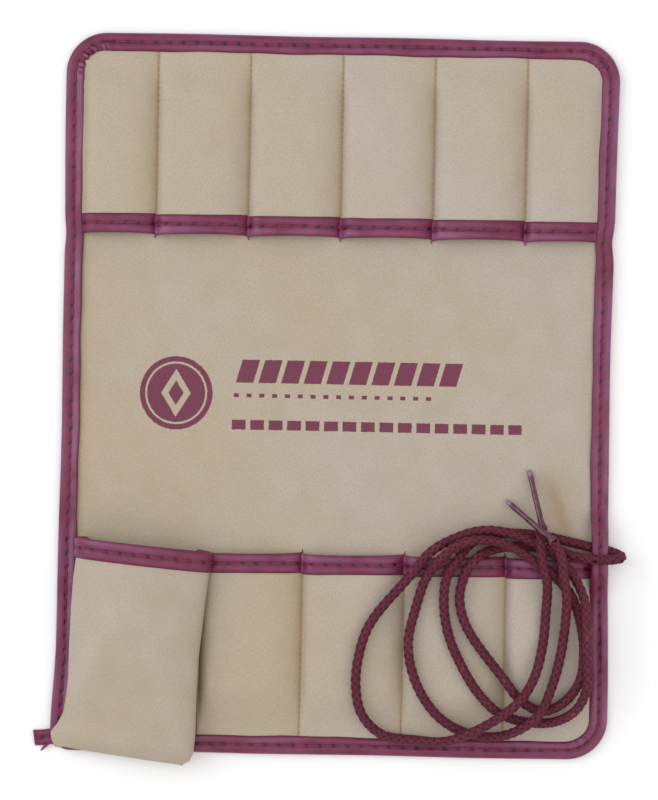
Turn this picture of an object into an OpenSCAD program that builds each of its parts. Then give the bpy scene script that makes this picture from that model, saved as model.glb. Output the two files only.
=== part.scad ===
// Roll for carving blades and their handle, lying open.
// +X runs along the width, +Y from the handle pocket up to the far edge, +Z up.

/* [Roll] */
// Width of the open roll, over the edge binding
roll_w = 216; // [210:1:222]
// Height of the open roll, over the edge binding
roll_h = 280; // [276:1:284]
// Radius of the roll's corners
corner_r = 16; // [12:1:20]
// Radius of the lower left corner, under the handle pocket
tail_corner_r = 8; // [8:0.5:12]
// Thickness of the back panel
panel_t = 1.2; // [0.8:0.1:1.6]

/* [Binding] */
// Thickness of the binding tape
tape_t = 0.8; // [0.5:0.1:1]
// Width of the binding round the edge
tape_w = 7.2; // [6:0.2:8]
// Width of the binding along the pocket mouths
band_w = 8; // [6:0.5:10]
// Reach of the tape's loose end past the lower left corner
tail_reach = 7.4; // [4:0.2:10]

/* [Pockets] */
// Thickness of the pocket cloth
cloth_t = 0.6; // [0.4:0.1:0.8]
// Clear height inside a blade pocket
pocket_h = 4.6; // [4.4:0.1:5]
// Depth of the pockets, from the roll's edge to their mouths
pocket_d = 78.5; // [70:0.5:85]
// Length over which a blade pocket flattens towards its closed end
taper = 16.8; // [10:0.2:24]
// Width of the handle pocket where it is sewn down
handle_w = 56; // [54:0.5:58]
// Clear height inside the handle pocket
handle_h = 16; // [14:0.5:17]
// How far the handle pocket hangs over the lower edge
handle_over = 4.5; // [2:0.5:8]
// Slope of the handle pocket's mouth across the roll, in degrees
handle_tilt = 5.8; // [0:0.2:8]

/* [Folds] */
// Distance between neighbouring fold lines
fold_pitch = 21; // [20:0.5:21]
// Largest fold at each line, in degrees
fold_max = 50; // [30:1:55]

/* [Lace] */
// Diameter of the tie lace
lace_d = 4.2; // [3.6:0.1:4.2]
// Diameter of the aglets
aglet_d = 2.6; // [2:0.1:3]

/* [Hidden] */
$fn = 64;

cloth_color = "#b5a999";
tape_color = "#7c4468";
lace_color = "#5b2638";

// The loose tape end and the overhanging pocket reach past the outline on two sides,
// so the outline's centre sits off the origin, which is the middle of the whole roll.
centre_x = tail_reach / 2;
centre_y = handle_over / 2;

// Heights of the layers
panel_z = tape_t;
cloth_z = panel_z + panel_t;
rim_z = cloth_z + cloth_t;
leg_z = rim_z + tape_t;
top_z = rim_z + pocket_h;

// Pocket rows, measured from the outline's centre line
mouth_y = roll_h / 2 - pocket_d;
window_y = roll_h / 2 - tape_w;
window_x = roll_w / 2 - tape_w;
seam_rim = 1;
wall_run = 3;
upper_pitch = roll_w / 6;
lower_x = -roll_w / 2 + handle_w;
lower_pitch = 39.7;
corner_rim = tape_w - tape_t + 0.4;

// Folds: four rigid leaves, named here from left to right
HANDLE = 0;
MIDDLE = 1;
INNER = 2;
BASE = 3;
fold_z = cloth_z;
fold_gap = 0.15;
fold_spread = tan(fold_max / 2 + 2);
far = 200;

// Arch in the right binding that the lace runs through
arch_y = -59;
arch_h = 4.2;
arch_run = 11;
arch_flat = 7;

// The lace, as points on its centre line. The loop runs through the arch and back over it,
// and the two halves lie in loose turns on the lower pockets.
loop_points = [
    [101, -57, 4.4], [105, -57.6, 4.4], [109, -58.8, 4.8], [111.3, -59.8, 6.6],
    [111.2, -60.6, 9], [108.6, -61.2, 10.2], [105, -61.4, 10.2], [101, -61.4, 10.2]
];
first_points = [
    [101, -57, 4.4], [82, -53, 4.5], [71, -52, 4.5], [60.5, -53, 4.5], [53, -56.5, 5.5],
    [48.5, -61.5, 10.5], [44, -69, 10.5], [43, -80, 9.5], [45, -91.5, 9.5], [50, -103, 9.5],
    [57, -114, 9.5], [65, -121.5, 9], [76, -125, 8], [87, -124.5, 8.5], [95, -119.5, 10.5],
    [98.5, -111, 13.5], [98.5, -99, 14], [98, -87, 14], [97, -77, 13.5], [93.5, -69, 11.5],
    [88, -62, 11.5], [79.5, -56.5, 9.5], [69, -52, 9.5], [57, -51, 9.5], [46, -54.5, 9],
    [37.5, -59.5, 10.5], [30.5, -68, 10.5], [14.5, -88, 9.5], [10.5, -100, 9.5], [9.5, -112, 9.5],
    [12, -123, 9], [20, -131, 6.5], [33, -133, 6], [44.5, -133, 9],
    [54.5, -129, 12.5], [64, -123.5, 13.5], [73, -116, 14], [78.5, -107, 11.5],
    [81.5, -95, 9.5], [82.5, -82, 10], [82.5, -71, 14], [80.5, -62, 15.5], [79.5, -55, 15],
    [80.5, -49.5, 10.5]
];
second_points = [
    [101, -61.4, 10.2], [93, -60, 9.5], [85, -58, 5.5], [75, -57, 4.5], [64, -58, 5],
    [56, -61, 10], [51.5, -67, 10.5], [49, -77, 9.5], [52, -88.5, 9.5], [66.5, -108, 9.5],
    [73.5, -116.5, 9.5], [82, -120.5, 9], [90, -117, 9.5], [96, -109, 9.5],
    [97.5, -97.5, 9.5], [96, -86, 9.5], [92.5, -76, 10], [86.5, -69, 10.5],
    [78.5, -63, 10.5], [69.5, -57.5, 10], [59, -54.5, 12.5], [49, -56, 14.5],
    [41.5, -62, 12.5], [36, -69.5, 10.5], [32, -82, 9.5], [29.5, -94, 9.5], [31, -105.5, 9.5],
    [36, -116.5, 9.5], [43.5, -125, 8], [53.5, -130, 6.5], [64, -131, 7], [73, -127.5, 12],
    [80.5, -121, 14], [85, -111.5, 11.5], [88.5, -99, 9.5], [90, -86, 11.5], [90, -76, 15],
    [88.5, -67, 16.5], [87, -59, 17.5], [84, -54, 19.5]
];
first_tip = [75.4, -27.4, 3.5];
second_tip = [67, -39.6, 3.5];
loop_lead = [-1, 0.15, 0];
lace_sides = 8;
aglet_neck = 2.5;

// ---- Helpers ----

function unit(v) = v / norm(v);

// Direction of a path at point i, or the given direction at either end
function heading(path, i, first, last) =
    i == 0 ? unit(first) :
    i == len(path) - 1 ? unit(last) :
    unit(unit(path[i] - path[i - 1]) + unit(path[i + 1] - path[i]));

// Ring of points round the path's point p, square to its direction t
function ring(p, t, side) =
    let (u = unit(cross(t, side)), w = cross(t, u))
    [for (k = [0 : lace_sides - 1])
        p + lace_d / 2 * (cos(k * 360 / lace_sides) * u + sin(k * 360 / lace_sides) * w)];

// Round cord swept along a path
module tube(path, first, last, side = [0, 0, 1]) {
    n = lace_sides;
    rings = [for (i = [0 : len(path) - 1]) each ring(path[i], heading(path, i, first, last), side)];
    start_face = [for (k = [0 : n - 1]) k];
    end_face = [for (k = [n - 1 : -1 : 0]) (len(path) - 1) * n + k];
    walls = [for (i = [0 : len(path) - 2]) for (k = [0 : n - 1])
        let (a = i * n + k, b = i * n + (k + 1) % n)
        each [[a, a + n, b + n], [a, b + n, b]]];
    polyhedron(points = rings, faces = concat([start_face], walls, [end_face]));
}

// Puts a part drawn about the outline's centre into the roll's frame
module placed() {
    translate([centre_x, centre_y, 0]) children();
}

// Extrudes a shape drawn in x and z along the y axis
module along_y() {
    rotate([90, 0, 0]) linear_extrude(2 * far, center = true) children();
}

// Extrudes a shape drawn in y and z along the x axis
module along_x() {
    rotate([90, 0, 90]) linear_extrude(2 * far, center = true) children();
}

// The roll's outline, drawn in from the outer edge. Its lower left corner is tighter than the rest.
module outline(inset) {
    w = roll_w - 2 * inset;
    h = roll_h - 2 * inset;
    r = corner_r - inset;
    s = tail_corner_r - inset;
    square([w - 2 * r, h], center = true);
    square([w, h - 2 * r], center = true);
    for (side = [[-1, 1], [1, 1], [1, -1]])
        translate([side.x * (w / 2 - r), side.y * (h / 2 - r)]) circle(r);
    translate([-w / 2, -h / 2]) {
        translate([s, 0]) square(r);
        translate([0, s]) square(r);
        translate([s, s]) circle(s);
    }
}

// Space of one leaf. Above the fold line its sides lean back, to leave room for the fold.
module leaf(i) {
    reach = i == HANDLE ? 24 : 12;
    left = (i - BASE) * fold_pitch + fold_gap;
    right = (i - BASE + 1) * fold_pitch - fold_gap;
    lean = reach * fold_spread;
    left_side = i == HANDLE
        ? [[-far, fold_z + reach], [-far, -1]]
        : [[left + lean, fold_z + reach], [left, fold_z], [left, -1]];
    right_side = i == BASE
        ? [[far, -1], [far, fold_z + reach]]
        : [[right, -1], [right, fold_z], [right - lean, fold_z + reach]];
    along_y() polygon(concat(left_side, right_side));
}

// Half of the roll: side 1 is the upper row's, side -1 the lower row's
module half(side) {
    translate([-far, side > 0 ? 0 : -far, -1]) cube([2 * far, far, 50]);
}

// Room for cloth: under the binding's leg, and above it inside the binding
module cloth_room() {
    translate([0, 0, cloth_z]) linear_extrude(cloth_t) outline(tape_t);
    translate([0, 0, cloth_z]) linear_extrude(50) outline(tape_w);
}

// Cross-section of a blade pocket between two seams, grown outwards by t
module pocket_section(x0, x1, rim0, rim1, t) {
    lean = 0.55 * t;
    floor_z = t < 0 ? cloth_z - 1 : cloth_z;
    wall = [
        [x0 + rim0 - lean, rim_z + t], [x0 + rim0 + wall_run - lean, top_z + t],
        [x1 - rim1 - wall_run + lean, top_z + t], [x1 - rim1 + lean, rim_z + t]
    ];
    low = t < 0
        ? [[x1 - rim1 + lean, floor_z], [x0 + rim0 - lean, floor_z]]
        : [[x1, rim_z + t], [x1, floor_z], [x0, floor_z], [x0, rim_z + t]];
    along_y() polygon(concat(wall, low));
}

// Lengthways section of a blade pocket of the upper row, from its mouth to its closed end
module pocket_profile(t) {
    start = t < 0 ? mouth_y - 5 : mouth_y + tape_t;
    floor_z = t < 0 ? cloth_z - 1 : cloth_z;
    edge = roll_h / 2 - tape_t;
    low = t < 0
        ? [[window_y - taper * cloth_t / pocket_h, cloth_z], [window_y - taper, floor_z]]
        : [[window_y, rim_z], [edge, rim_z], [edge, floor_z]];
    along_x() polygon(concat([[start, floor_z], [start, top_z + t], [window_y - taper, top_z + t]], low));
}

module row(side) {
    mirror([0, side > 0 ? 0 : 1, 0]) children();
}

// ---- Sewn parts ----

module panel(i) {
    placed() color(cloth_color) intersection() {
        leaf(i);
        translate([0, 0, panel_z]) linear_extrude(panel_t) outline(tape_t);
    }
}

// Blade pocket between two seams, in one leaf
module blade_pocket(i, side, x0, x1) {
    rim0 = x0 <= -roll_w / 2 + tape_t ? corner_rim : seam_rim;
    rim1 = x1 >= roll_w / 2 - tape_t ? corner_rim : seam_rim;
    placed() color(cloth_color) intersection() {
        leaf(i);
        cloth_room();
        row(side) difference() {
            intersection() {
                pocket_section(x0, x1, rim0, rim1, 0);
                pocket_profile(0);
            }
            intersection() {
                pocket_section(x0, x1, rim0, rim1, -cloth_t);
                pocket_profile(-cloth_t);
            }
        }
    }
}

// Tape folded over the mouths of a row of pockets, in one leaf
module mouth_binding(i, side, seams) {
    placed() color(tape_color) intersection() {
        leaf(i);
        linear_extrude(50) outline(tape_w);
        row(side) translate([-far, mouth_y, 0]) cube([2 * far, band_w, 50]);
        for_seams(seams);
    }
}

// Tape over every pocket between the given seams, on top of the cloth and over its edge
module for_seams(seams) {
    for (k = [0 : len(seams) - 2]) {
        x0 = seams[k];
        x1 = seams[k + 1];
        rim0 = x0 <= -roll_w / 2 + tape_t ? corner_rim : seam_rim;
        rim1 = x1 >= roll_w / 2 - tape_t ? corner_rim : seam_rim;
        difference() {
            pocket_section(x0, x1, rim0, rim1, tape_t);
            pocket_section(x0, x1, rim0, rim1, -cloth_t);
            intersection() {
                pocket_section(x0, x1, rim0, rim1, 0);
                union() {
                    translate([-far, mouth_y + tape_t, -1]) cube([2 * far, far, 50]);
                    translate([-far, -mouth_y - tape_t - far, -1]) cube([2 * far, far, 50]);
                }
            }
        }
    }
}

// Section of the arch that lets the lace through the binding, drawn in y and z
module arch_section(lift, flat) {
    along_x() polygon([
        [arch_y - flat - arch_run, leg_z - 0.4], [arch_y - flat, leg_z + lift],
        [arch_y + flat, leg_z + lift], [arch_y + flat + arch_run, leg_z - 0.4]
    ]);
}

// Tape folded over the roll's edge, as a U round the panel and the cloth's rim
module edge_tape(i) {
    difference() {
        union() {
            linear_extrude(leg_z) outline(0);
            if (i == BASE) intersection() {
                arch_section(arch_h, arch_flat);
                translate([window_x, -far, 0]) cube([tape_w, 2 * far, 50]);
            }
            if (i == HANDLE)
                translate([-roll_w / 2 - tail_reach, -roll_h / 2 + 1.6, 0])
                    cube([tail_reach + tail_corner_r, tape_w - 0.4, 2 * tape_t]);
        }
        translate([0, 0, panel_z]) linear_extrude(panel_t + cloth_t) outline(tape_t);
        translate([0, 0, -1]) linear_extrude(50) outline(tape_w);
        if (i == BASE) {
            intersection() {
                arch_section(arch_h - tape_t, arch_flat - tape_t);
                translate([0, -far, 0]) cube([roll_w / 2 - tape_t, 2 * far, 50]);
            }
            translate([0, arch_y - 5, cloth_z]) cube([roll_w, 10, arch_h + leg_z - cloth_z - tape_t]);
        }
    }
}

module edge_binding(i) {
    placed() color(tape_color) intersection() {
        leaf(i);
        edge_tape(i);
    }
}

module edge_binding_strip(i, side) {
    placed() color(tape_color) intersection() {
        leaf(i);
        half(side);
        edge_tape(i);
    }
}

// ---- Handle pocket ----

// Cross-section of the handle pocket, grown outwards by t
module handle_section(t) {
    xl = -window_x;
    xr = lower_x;
    crown = cloth_z + handle_h + cloth_t;
    floor_z = t < 0 ? cloth_z - 1 : cloth_z;
    along_y() polygon([
        [xl + 2.2 - t, floor_z], [xl + 2.2 - t, cloth_z], [xl - 0.6 - t, cloth_z + 4],
        [xl - 1 - t, cloth_z + 7], [xl + 1.5 - 0.7 * t, crown - 4.6 + 0.7 * t],
        [xl + 8 - 0.4 * t, crown - 1.2 + t], [xl + 18, crown + t], [xr - 20, crown + t],
        [xr - 8 + 0.4 * t, crown - 1.6 + t], [xr + 1 + 0.7 * t, crown - 4.6 + 0.7 * t],
        [xr + 3.8 + t, crown - 7.2], [xr + 1.6 + t, cloth_z + 7 - 0.6 * t],
        [xr - 0.7 + t, cloth_z + 4], [xr - 0.9 + t, cloth_z], [xr - 0.9 + t, floor_z]
    ]);
}

// Lengthways section of the handle pocket, with its closed end over the lower edge
module handle_profile(t) {
    crown = cloth_z + handle_h + cloth_t;
    sole = leg_z + 0.1;
    end = roll_h / 2 + handle_over;
    floor_z = t < 0 ? cloth_z - 1 : cloth_z;
    mirror([0, 1, 0]) along_x() polygon([
        [20, floor_z], [20, crown + 5], [window_y - 8 + 0.5 * t, crown + 5],
        [window_y - 8 + 0.5 * t, crown + t], [window_y + 4 + 0.5 * t, crown - 2.4 + t],
        [end - 1.5 + t, crown - 7], [end + t, crown - 10.6], [end - 1.8 + 0.7 * t, sole + 1.6 - 0.7 * t],
        [end - 5, sole - t], [window_y - 0.2 + t, sole - t], [window_y - 0.2 + t, floor_z]
    ]);
}

// Slice of the handle pocket between two distances from its mouth, square to the mouth
module mouth_slice(y0, y1) {
    translate([(-window_x + lower_x) / 2, -mouth_y + 2.3, 0])
        rotate(-handle_tilt)
            translate([-60, y0, 0]) cube([120, y1 - y0, 50]);
}

// Flaps by which the handle pocket is sewn down, under the binding and along its seam
module handle_flaps() {
    translate([-roll_w / 2 + tape_t, -window_y, cloth_z])
        cube([tape_w - tape_t + 2.2, window_y - mouth_y - tape_t, cloth_t]);
    translate([lower_x - 0.9, -window_y, cloth_z])
        cube([0.9, window_y - mouth_y - band_w, cloth_t]);
}

module handle_pocket() {
    placed() color(cloth_color) union() {
        intersection() {
            cloth_room();
            handle_flaps();
        }
        intersection() {
            mouth_slice(-120, -tape_t);
            difference() {
                intersection() {
                    handle_section(0);
                    handle_profile(0);
                }
                intersection() {
                    handle_section(-cloth_t);
                    handle_profile(-cloth_t);
                }
            }
        }
    }
}

module handle_mouth_binding() {
    placed() color(tape_color) difference() {
        intersection() {
            mouth_slice(-band_w, 0);
            handle_section(tape_t);
        }
        handle_section(-cloth_t);
        intersection() {
            mouth_slice(-120, -tape_t);
            handle_section(0);
        }
        handle_flaps();
    }
}

// ---- Tie lace ----

module lace_loop() {
    placed() color(lace_color) tube(loop_points, -loop_lead, loop_lead, side = [0, 1, 0]);
}

module lace_first() {
    placed() color(lace_color)
        tube(first_points, loop_lead, first_tip - first_points[len(first_points) - 1]);
}

module lace_second() {
    placed() color(lace_color)
        tube(second_points, loop_lead, second_tip - second_points[len(second_points) - 1]);
}

// Hard tip of the lace, from the end of the braid to the given point
module aglet(from, tip) {
    d = tip - from;
    placed() color(tape_color) translate(from)
        rotate([0, acos(d.z / norm(d)), atan2(d.y, d.x)]) {
            cylinder(h = aglet_neck, d1 = lace_d - 0.6, d2 = aglet_d);
            translate([0, 0, aglet_neck]) cylinder(h = norm(d) - aglet_neck, d = aglet_d);
        }
}

module aglet_first() {
    aglet(first_points[len(first_points) - 1], first_tip);
}

module aglet_second() {
    aglet(second_points[len(second_points) - 1], second_tip);
}

// ---- Nodes ----

function upper(k) = -roll_w / 2 + k * upper_pitch;
function upper_inside(k) = max(min(upper(k), roll_w / 2 - tape_t), -roll_w / 2 + tape_t);
function lower(k) = k < 4 ? lower_x + k * lower_pitch : roll_w / 2 - tape_t;
upper_seams = [for (k = [0 : 6]) upper_inside(k)];
lower_seams = [for (k = [0 : 4]) lower(k)];

module upper_pocket(i, k) {
    blade_pocket(i, 1, upper_seams[k - 1], upper_seams[k]);
}

module lower_pocket(i, k) {
    blade_pocket(i, -1, lower_seams[k - 1], lower_seams[k]);
}

panel(BASE);  // panel_base
panel(INNER);  // panel_inner
panel(MIDDLE);  // panel_middle
panel(HANDLE);  // panel_handle
edge_binding(BASE);  // edge_binding_base
edge_binding_strip(INNER, 1);  // edge_binding_inner_top
edge_binding_strip(INNER, -1);  // edge_binding_inner_bottom
edge_binding_strip(MIDDLE, 1);  // edge_binding_middle_top
edge_binding_strip(MIDDLE, -1);  // edge_binding_middle_bottom
edge_binding(HANDLE);  // edge_binding_handle
upper_pocket(HANDLE, 1);  // upper_pocket_1
upper_pocket(HANDLE, 2);  // upper_pocket_2_handle
upper_pocket(MIDDLE, 2);  // upper_pocket_2_middle
upper_pocket(MIDDLE, 3);  // upper_pocket_3_middle
upper_pocket(INNER, 3);  // upper_pocket_3_inner
upper_pocket(BASE, 4);  // upper_pocket_4
upper_pocket(BASE, 5);  // upper_pocket_5
upper_pocket(BASE, 6);  // upper_pocket_6
lower_pocket(HANDLE, 1);  // lower_pocket_1_handle
lower_pocket(MIDDLE, 1);  // lower_pocket_1_middle
lower_pocket(INNER, 1);  // lower_pocket_1_inner
lower_pocket(INNER, 2);  // lower_pocket_2_inner
lower_pocket(BASE, 2);  // lower_pocket_2_base
lower_pocket(BASE, 3);  // lower_pocket_3
lower_pocket(BASE, 4);  // lower_pocket_4
handle_pocket();
handle_mouth_binding();
mouth_binding(HANDLE, 1, upper_seams);  // upper_mouth_binding_handle
mouth_binding(MIDDLE, 1, upper_seams);  // upper_mouth_binding_middle
mouth_binding(INNER, 1, upper_seams);  // upper_mouth_binding_inner
mouth_binding(BASE, 1, upper_seams);  // upper_mouth_binding_base
mouth_binding(HANDLE, -1, lower_seams);  // lower_mouth_binding_handle
mouth_binding(MIDDLE, -1, lower_seams);  // lower_mouth_binding_middle
mouth_binding(INNER, -1, lower_seams);  // lower_mouth_binding_inner
mouth_binding(BASE, -1, lower_seams);  // lower_mouth_binding_base
lace_loop();
lace_first();
lace_second();
aglet_first();
aglet_second();
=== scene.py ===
"""Open roll for carving blades: cloth, binding, stitching and tie lace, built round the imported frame."""

import math

import bpy
import numpy as np
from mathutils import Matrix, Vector


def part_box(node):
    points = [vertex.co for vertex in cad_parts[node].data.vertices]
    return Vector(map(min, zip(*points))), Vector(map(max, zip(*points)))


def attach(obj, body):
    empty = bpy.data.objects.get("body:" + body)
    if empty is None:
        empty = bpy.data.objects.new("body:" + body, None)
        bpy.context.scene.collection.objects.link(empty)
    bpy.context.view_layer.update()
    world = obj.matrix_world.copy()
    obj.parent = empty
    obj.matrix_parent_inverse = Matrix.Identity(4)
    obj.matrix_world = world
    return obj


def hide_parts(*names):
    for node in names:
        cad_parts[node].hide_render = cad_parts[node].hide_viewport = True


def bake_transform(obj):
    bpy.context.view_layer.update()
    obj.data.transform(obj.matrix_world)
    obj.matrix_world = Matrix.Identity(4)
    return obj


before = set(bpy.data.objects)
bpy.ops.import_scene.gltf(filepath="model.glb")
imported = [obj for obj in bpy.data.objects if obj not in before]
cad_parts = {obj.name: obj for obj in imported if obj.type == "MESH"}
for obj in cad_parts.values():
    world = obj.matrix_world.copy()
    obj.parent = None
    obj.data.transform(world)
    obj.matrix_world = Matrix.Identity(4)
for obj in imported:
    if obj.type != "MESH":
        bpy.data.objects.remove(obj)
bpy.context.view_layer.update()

# ---- Sizes, in millimetres about the outline's centre, unless a name says otherwise ----

MM = 0.001
TAPE_T = 0.8
TAPE_W = 7.2
GROOVE_Q = 3.7
BAND_W = 8.0
CLOTH_T = 0.6
CORNER_R = 16.0
TAIL_CORNER_R = 8.0
EDGE_STITCHES = 180
STITCH_SHARE = 0.84


def node_box(node):
    """A CAD node's lowest and highest corners, in millimetres in the row frame."""
    low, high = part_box(node)
    return np.array(low) / MM, np.array(high) / MM


binding_low, binding_high = node_box("edge_binding_base")
panel_low, panel_high = node_box("panel_handle")
CENTRE = np.array([
    (binding_high[0] + panel_low[0] - TAPE_T) / 2,
    (binding_high[1] + binding_low[1]) / 2,
    0.0,
])
HALF_W = binding_high[0] - CENTRE[0]
HALF_H = binding_high[1] - CENTRE[1]
PANEL_Z = panel_low[2]
CLOTH_Z = panel_high[2]
RIM_Z = CLOTH_Z + CLOTH_T
TOP_Z = node_box("upper_pocket_4")[1][2]
MOUTH_Y = node_box("upper_mouth_binding_base")[0][1] - CENTRE[1]
WINDOW_X = HALF_W - TAPE_W
WINDOW_Y = HALF_H - TAPE_W
INSIDE_X = HALF_W - TAPE_T

# The fold lines between the leaves, from right to left, and the cuts between the cloth pieces
PANELS = ["panel_base", "panel_inner", "panel_middle", "panel_handle"]
FOLDS = [
    (node_box(right)[0][0] + node_box(left)[1][0]) / 2 - CENTRE[0]
    for right, left in zip(PANELS, PANELS[1:])
]
CUTS = [(FOLDS[0] + FOLDS[1]) / 2, (FOLDS[1] + FOLDS[2]) / 2]
SIDES = ["right", "middle", "left"]

UPPER_SEAMS = [-INSIDE_X] + [HALF_W * (k / 3 - 1) for k in range(1, 6)] + [INSIDE_X]
LOWER_LEFT = -HALF_W + 56.0
LOWER_SEAMS = [LOWER_LEFT + 39.7 * k for k in range(4)] + [INSIDE_X]


def metres(points):
    """Points about the outline's centre, in millimetres, as points in the row frame, in metres."""
    return (np.asarray(points, float) + CENTRE) * MM


# ---- Outline ----

# The outline's corners, clockwise from the top right: which side, which end and what radius
CORNERS = [
    (1, 1, CORNER_R), (1, -1, CORNER_R), (-1, -1, TAIL_CORNER_R), (-1, 1, CORNER_R)
]


def outline_parts():
    """The outline clockwise from its top left corner: a straight and an arc for each corner."""
    parts = []
    last = CORNERS[-1]
    start = np.array([last[0] * (HALF_W - last[2]), last[1] * HALF_H])
    facing = math.pi / 2
    for side, end, radius in CORNERS:
        out = np.array([math.cos(facing), math.sin(facing)])
        ahead = np.array([out[1], -out[0]])
        middle = np.array([side * (HALF_W - radius), end * (HALF_H - radius)])
        length = float(np.dot(middle - start, ahead))
        parts.append((length, start, facing, radius, middle))
        facing -= math.pi / 2
        start = middle + np.array([math.cos(facing), math.sin(facing)]) * radius
    return parts


OUTLINE = outline_parts()
PERIMETER = sum(length + math.pi / 2 * radius for length, _, _, radius, _ in OUTLINE)
STITCH_PITCH = PERIMETER / EDGE_STITCHES


def corner_run(k):
    """Distance along the outline to the middle of a corner, counted clockwise."""
    before = sum(length + math.pi / 2 * radius for length, _, _, radius, _ in OUTLINE[:k])
    return before + OUTLINE[k][0] + math.pi / 4 * OUTLINE[k][3]


def top_run(x):
    """Distance along the outline, clockwise from the top left corner, of a place on its top side."""
    return x - OUTLINE[0][1][0]


def bottom_run(x):
    start = sum(length + math.pi / 2 * radius for length, _, _, radius, _ in OUTLINE[:2])
    return start + OUTLINE[2][1][0] - x


def needle_dip(run):
    """How far the tape's groove dips at a distance along its stitches: 0 to 1, between two of them."""
    return 0.5 - 0.5 * math.cos(2 * math.pi * run / STITCH_PITCH)


def outline_at(run):
    """The outline's point and outward direction at a distance along it."""
    run = run % PERIMETER
    for length, start, facing, radius, middle in OUTLINE:
        out = np.array([math.cos(facing), math.sin(facing)])
        if run < length:
            return start + np.array([out[1], -out[0]]) * run, out
        run -= length
        if run < math.pi / 2 * radius:
            turn = facing - run / radius
            out = np.array([math.cos(turn), math.sin(turn)])
            return middle + out * radius, out
        run -= math.pi / 2 * radius
    return OUTLINE[0][1], np.array([0.0, 1.0])


# ---- Camera ----

VIEW_TALL = 310.4
VIEW_CENTRE = (-3.07, -1.61, 0)
LENS = 120.0
SENSOR = 36.0
CAMERA_TURN = math.radians(1.15)


def add_camera():
    data = bpy.data.cameras.new("camera")
    data.lens = LENS
    data.sensor_width = SENSOR
    data.clip_start = 0.01
    data.clip_end = 20
    camera = bpy.data.objects.new("camera", data)
    bpy.context.scene.collection.objects.link(camera)
    place = metres(VIEW_CENTRE)
    camera.location = (place[0], place[1], VIEW_TALL * MM * LENS / SENSOR + TOP_Z * MM)
    camera.rotation_euler = (0, 0, CAMERA_TURN)
    bpy.context.scene.camera = camera


add_camera()

# ---- Node helpers ----


def linear(red, green, blue):
    """A colour of 0 to 255 sRGB steps as linear values."""
    parts = [c / 255 for c in (red, green, blue)]
    return tuple(c / 12.92 if c <= 0.04045 else ((c + 0.055) / 1.055) ** 2.4 for c in parts) + (1.0,)


def add(tree, kind, inputs=None, **settings):
    """A new shader node, with its inputs set to values or joined to sockets."""
    made = tree.nodes.new(kind)
    for key, value in settings.items():
        setattr(made, key, value)
    for key, value in (inputs or {}).items():
        if isinstance(value, bpy.types.NodeSocket):
            tree.links.new(value, made.inputs[key])
        else:
            made.inputs[key].default_value = value
    return made


def calc(tree, operation, a, b=0.0, c=0.0, clamp=False):
    made = add(tree, "ShaderNodeMath", {0: a, 1: b, 2: c}, operation=operation, use_clamp=clamp)
    return made.outputs[0]


def step_between(tree, value, low, high):
    """Rises smoothly from 0 to 1 as value goes from low to high."""
    made = add(
        tree, "ShaderNodeMapRange",
        {"Value": value, "From Min": low, "From Max": high}, interpolation_type="SMOOTHSTEP",
    )
    return made.outputs[0]


def mix(tree, factor, a, b, blend_type="MIX"):
    made = add(
        tree, "ShaderNodeMix", {0: factor, 6: a, 7: b}, data_type="RGBA", blend_type=blend_type
    )
    return made.outputs[2]


def tint(tree, colour, other, amount, share=1.0):
    """The colour, turned towards the other one by a share of the amount, held between 0 and 1."""
    much = calc(tree, "MULTIPLY", amount, share, clamp=True)
    return mix(tree, much, colour, other)


def noise(tree, vector, scale, detail=2.0, roughness=0.5):
    made = add(
        tree, "ShaderNodeTexNoise",
        {"Vector": vector, "Scale": scale, "Detail": detail, "Roughness": roughness},
    )
    return made.outputs[0]


def new_material(name, **values):
    """A material with a Principled shader: its node tree, shader and material."""
    material = bpy.data.materials.new(name)
    material.use_nodes = True
    tree = material.node_tree
    shader = tree.nodes["Principled BSDF"]
    for key, value in values.items():
        shader.inputs[key.replace("_", " ")].default_value = value
    return material, tree, shader


def bump(tree, shader, height, strength, distance, below=None):
    inputs = {"Height": height, "Strength": strength, "Distance": distance}
    if below is not None:
        inputs["Normal"] = below
    made = add(tree, "ShaderNodeBump", inputs)
    tree.links.new(made.outputs[0], shader.inputs["Normal"])
    return made.outputs[0]


def flat_map(tree):
    """The piece's own flat map, in metres, as a vector."""
    return add(tree, "ShaderNodeUVMap", uv_map="flat").outputs[0]


def stretched(tree, uv, along, across=1.0):
    """The flat map with its axes scaled, so that what is drawn on it runs long one way."""
    return add(tree, "ShaderNodeMapping", {0: uv, 3: (along, across, 1.0)}).outputs[0]


def attribute(tree, name):
    return add(tree, "ShaderNodeAttribute", attribute_name=name, attribute_type="GEOMETRY").outputs[2]


# ---- Materials ----

CLOTH = linear(177, 164, 148)
CLOTH_WARM = linear(178, 163, 139)
CLOTH_COOL = linear(181, 168, 161)
CLOTH_TAN_AND_SHADE = linear(150, 128, 88)
CLOTH_DARK = linear(138, 124, 101)
CLOTH_LINT = linear(208, 200, 184)
CLOTH_PAINTED_HIGHLIGHT = linear(196, 187, 186)
SEAM_CREASE_SHADE = linear(128, 98, 72)
INK = linear(108, 46, 70)
TAPE = linear(114, 36, 68)
TAPE_DARK = linear(74, 18, 44)
TAPE_PAINTED_HIGHLIGHT = linear(146, 94, 134)
TAPE_HOLE_SHADE = linear(52, 4, 30)
BRAID = linear(110, 27, 53)
BRAID_DARK = linear(74, 15, 34)
BRAID_GAP_SHADE = linear(42, 10, 22)
BRAID_LIGHT = linear(144, 68, 92)
AGLET = linear(112, 48, 78)
AGLET_DARK = linear(62, 16, 34)
AGLET_FILM = linear(136, 112, 120)


# The print, in metres: each row's left, right, low and high ends, its pitch, block length and slant
PRINT_ROWS = [
    (-0.0410, 0.0460, 0.0045, 0.0135, 0.0088, 0.0070, 0.28),
    (-0.0405, 0.0392, -0.0012, 0.0003, 0.0050, 0.0022, 0.0),
    (-0.0410, 0.0740, -0.0138, -0.0100, 0.0072, 0.0056, 0.0),
]
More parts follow.
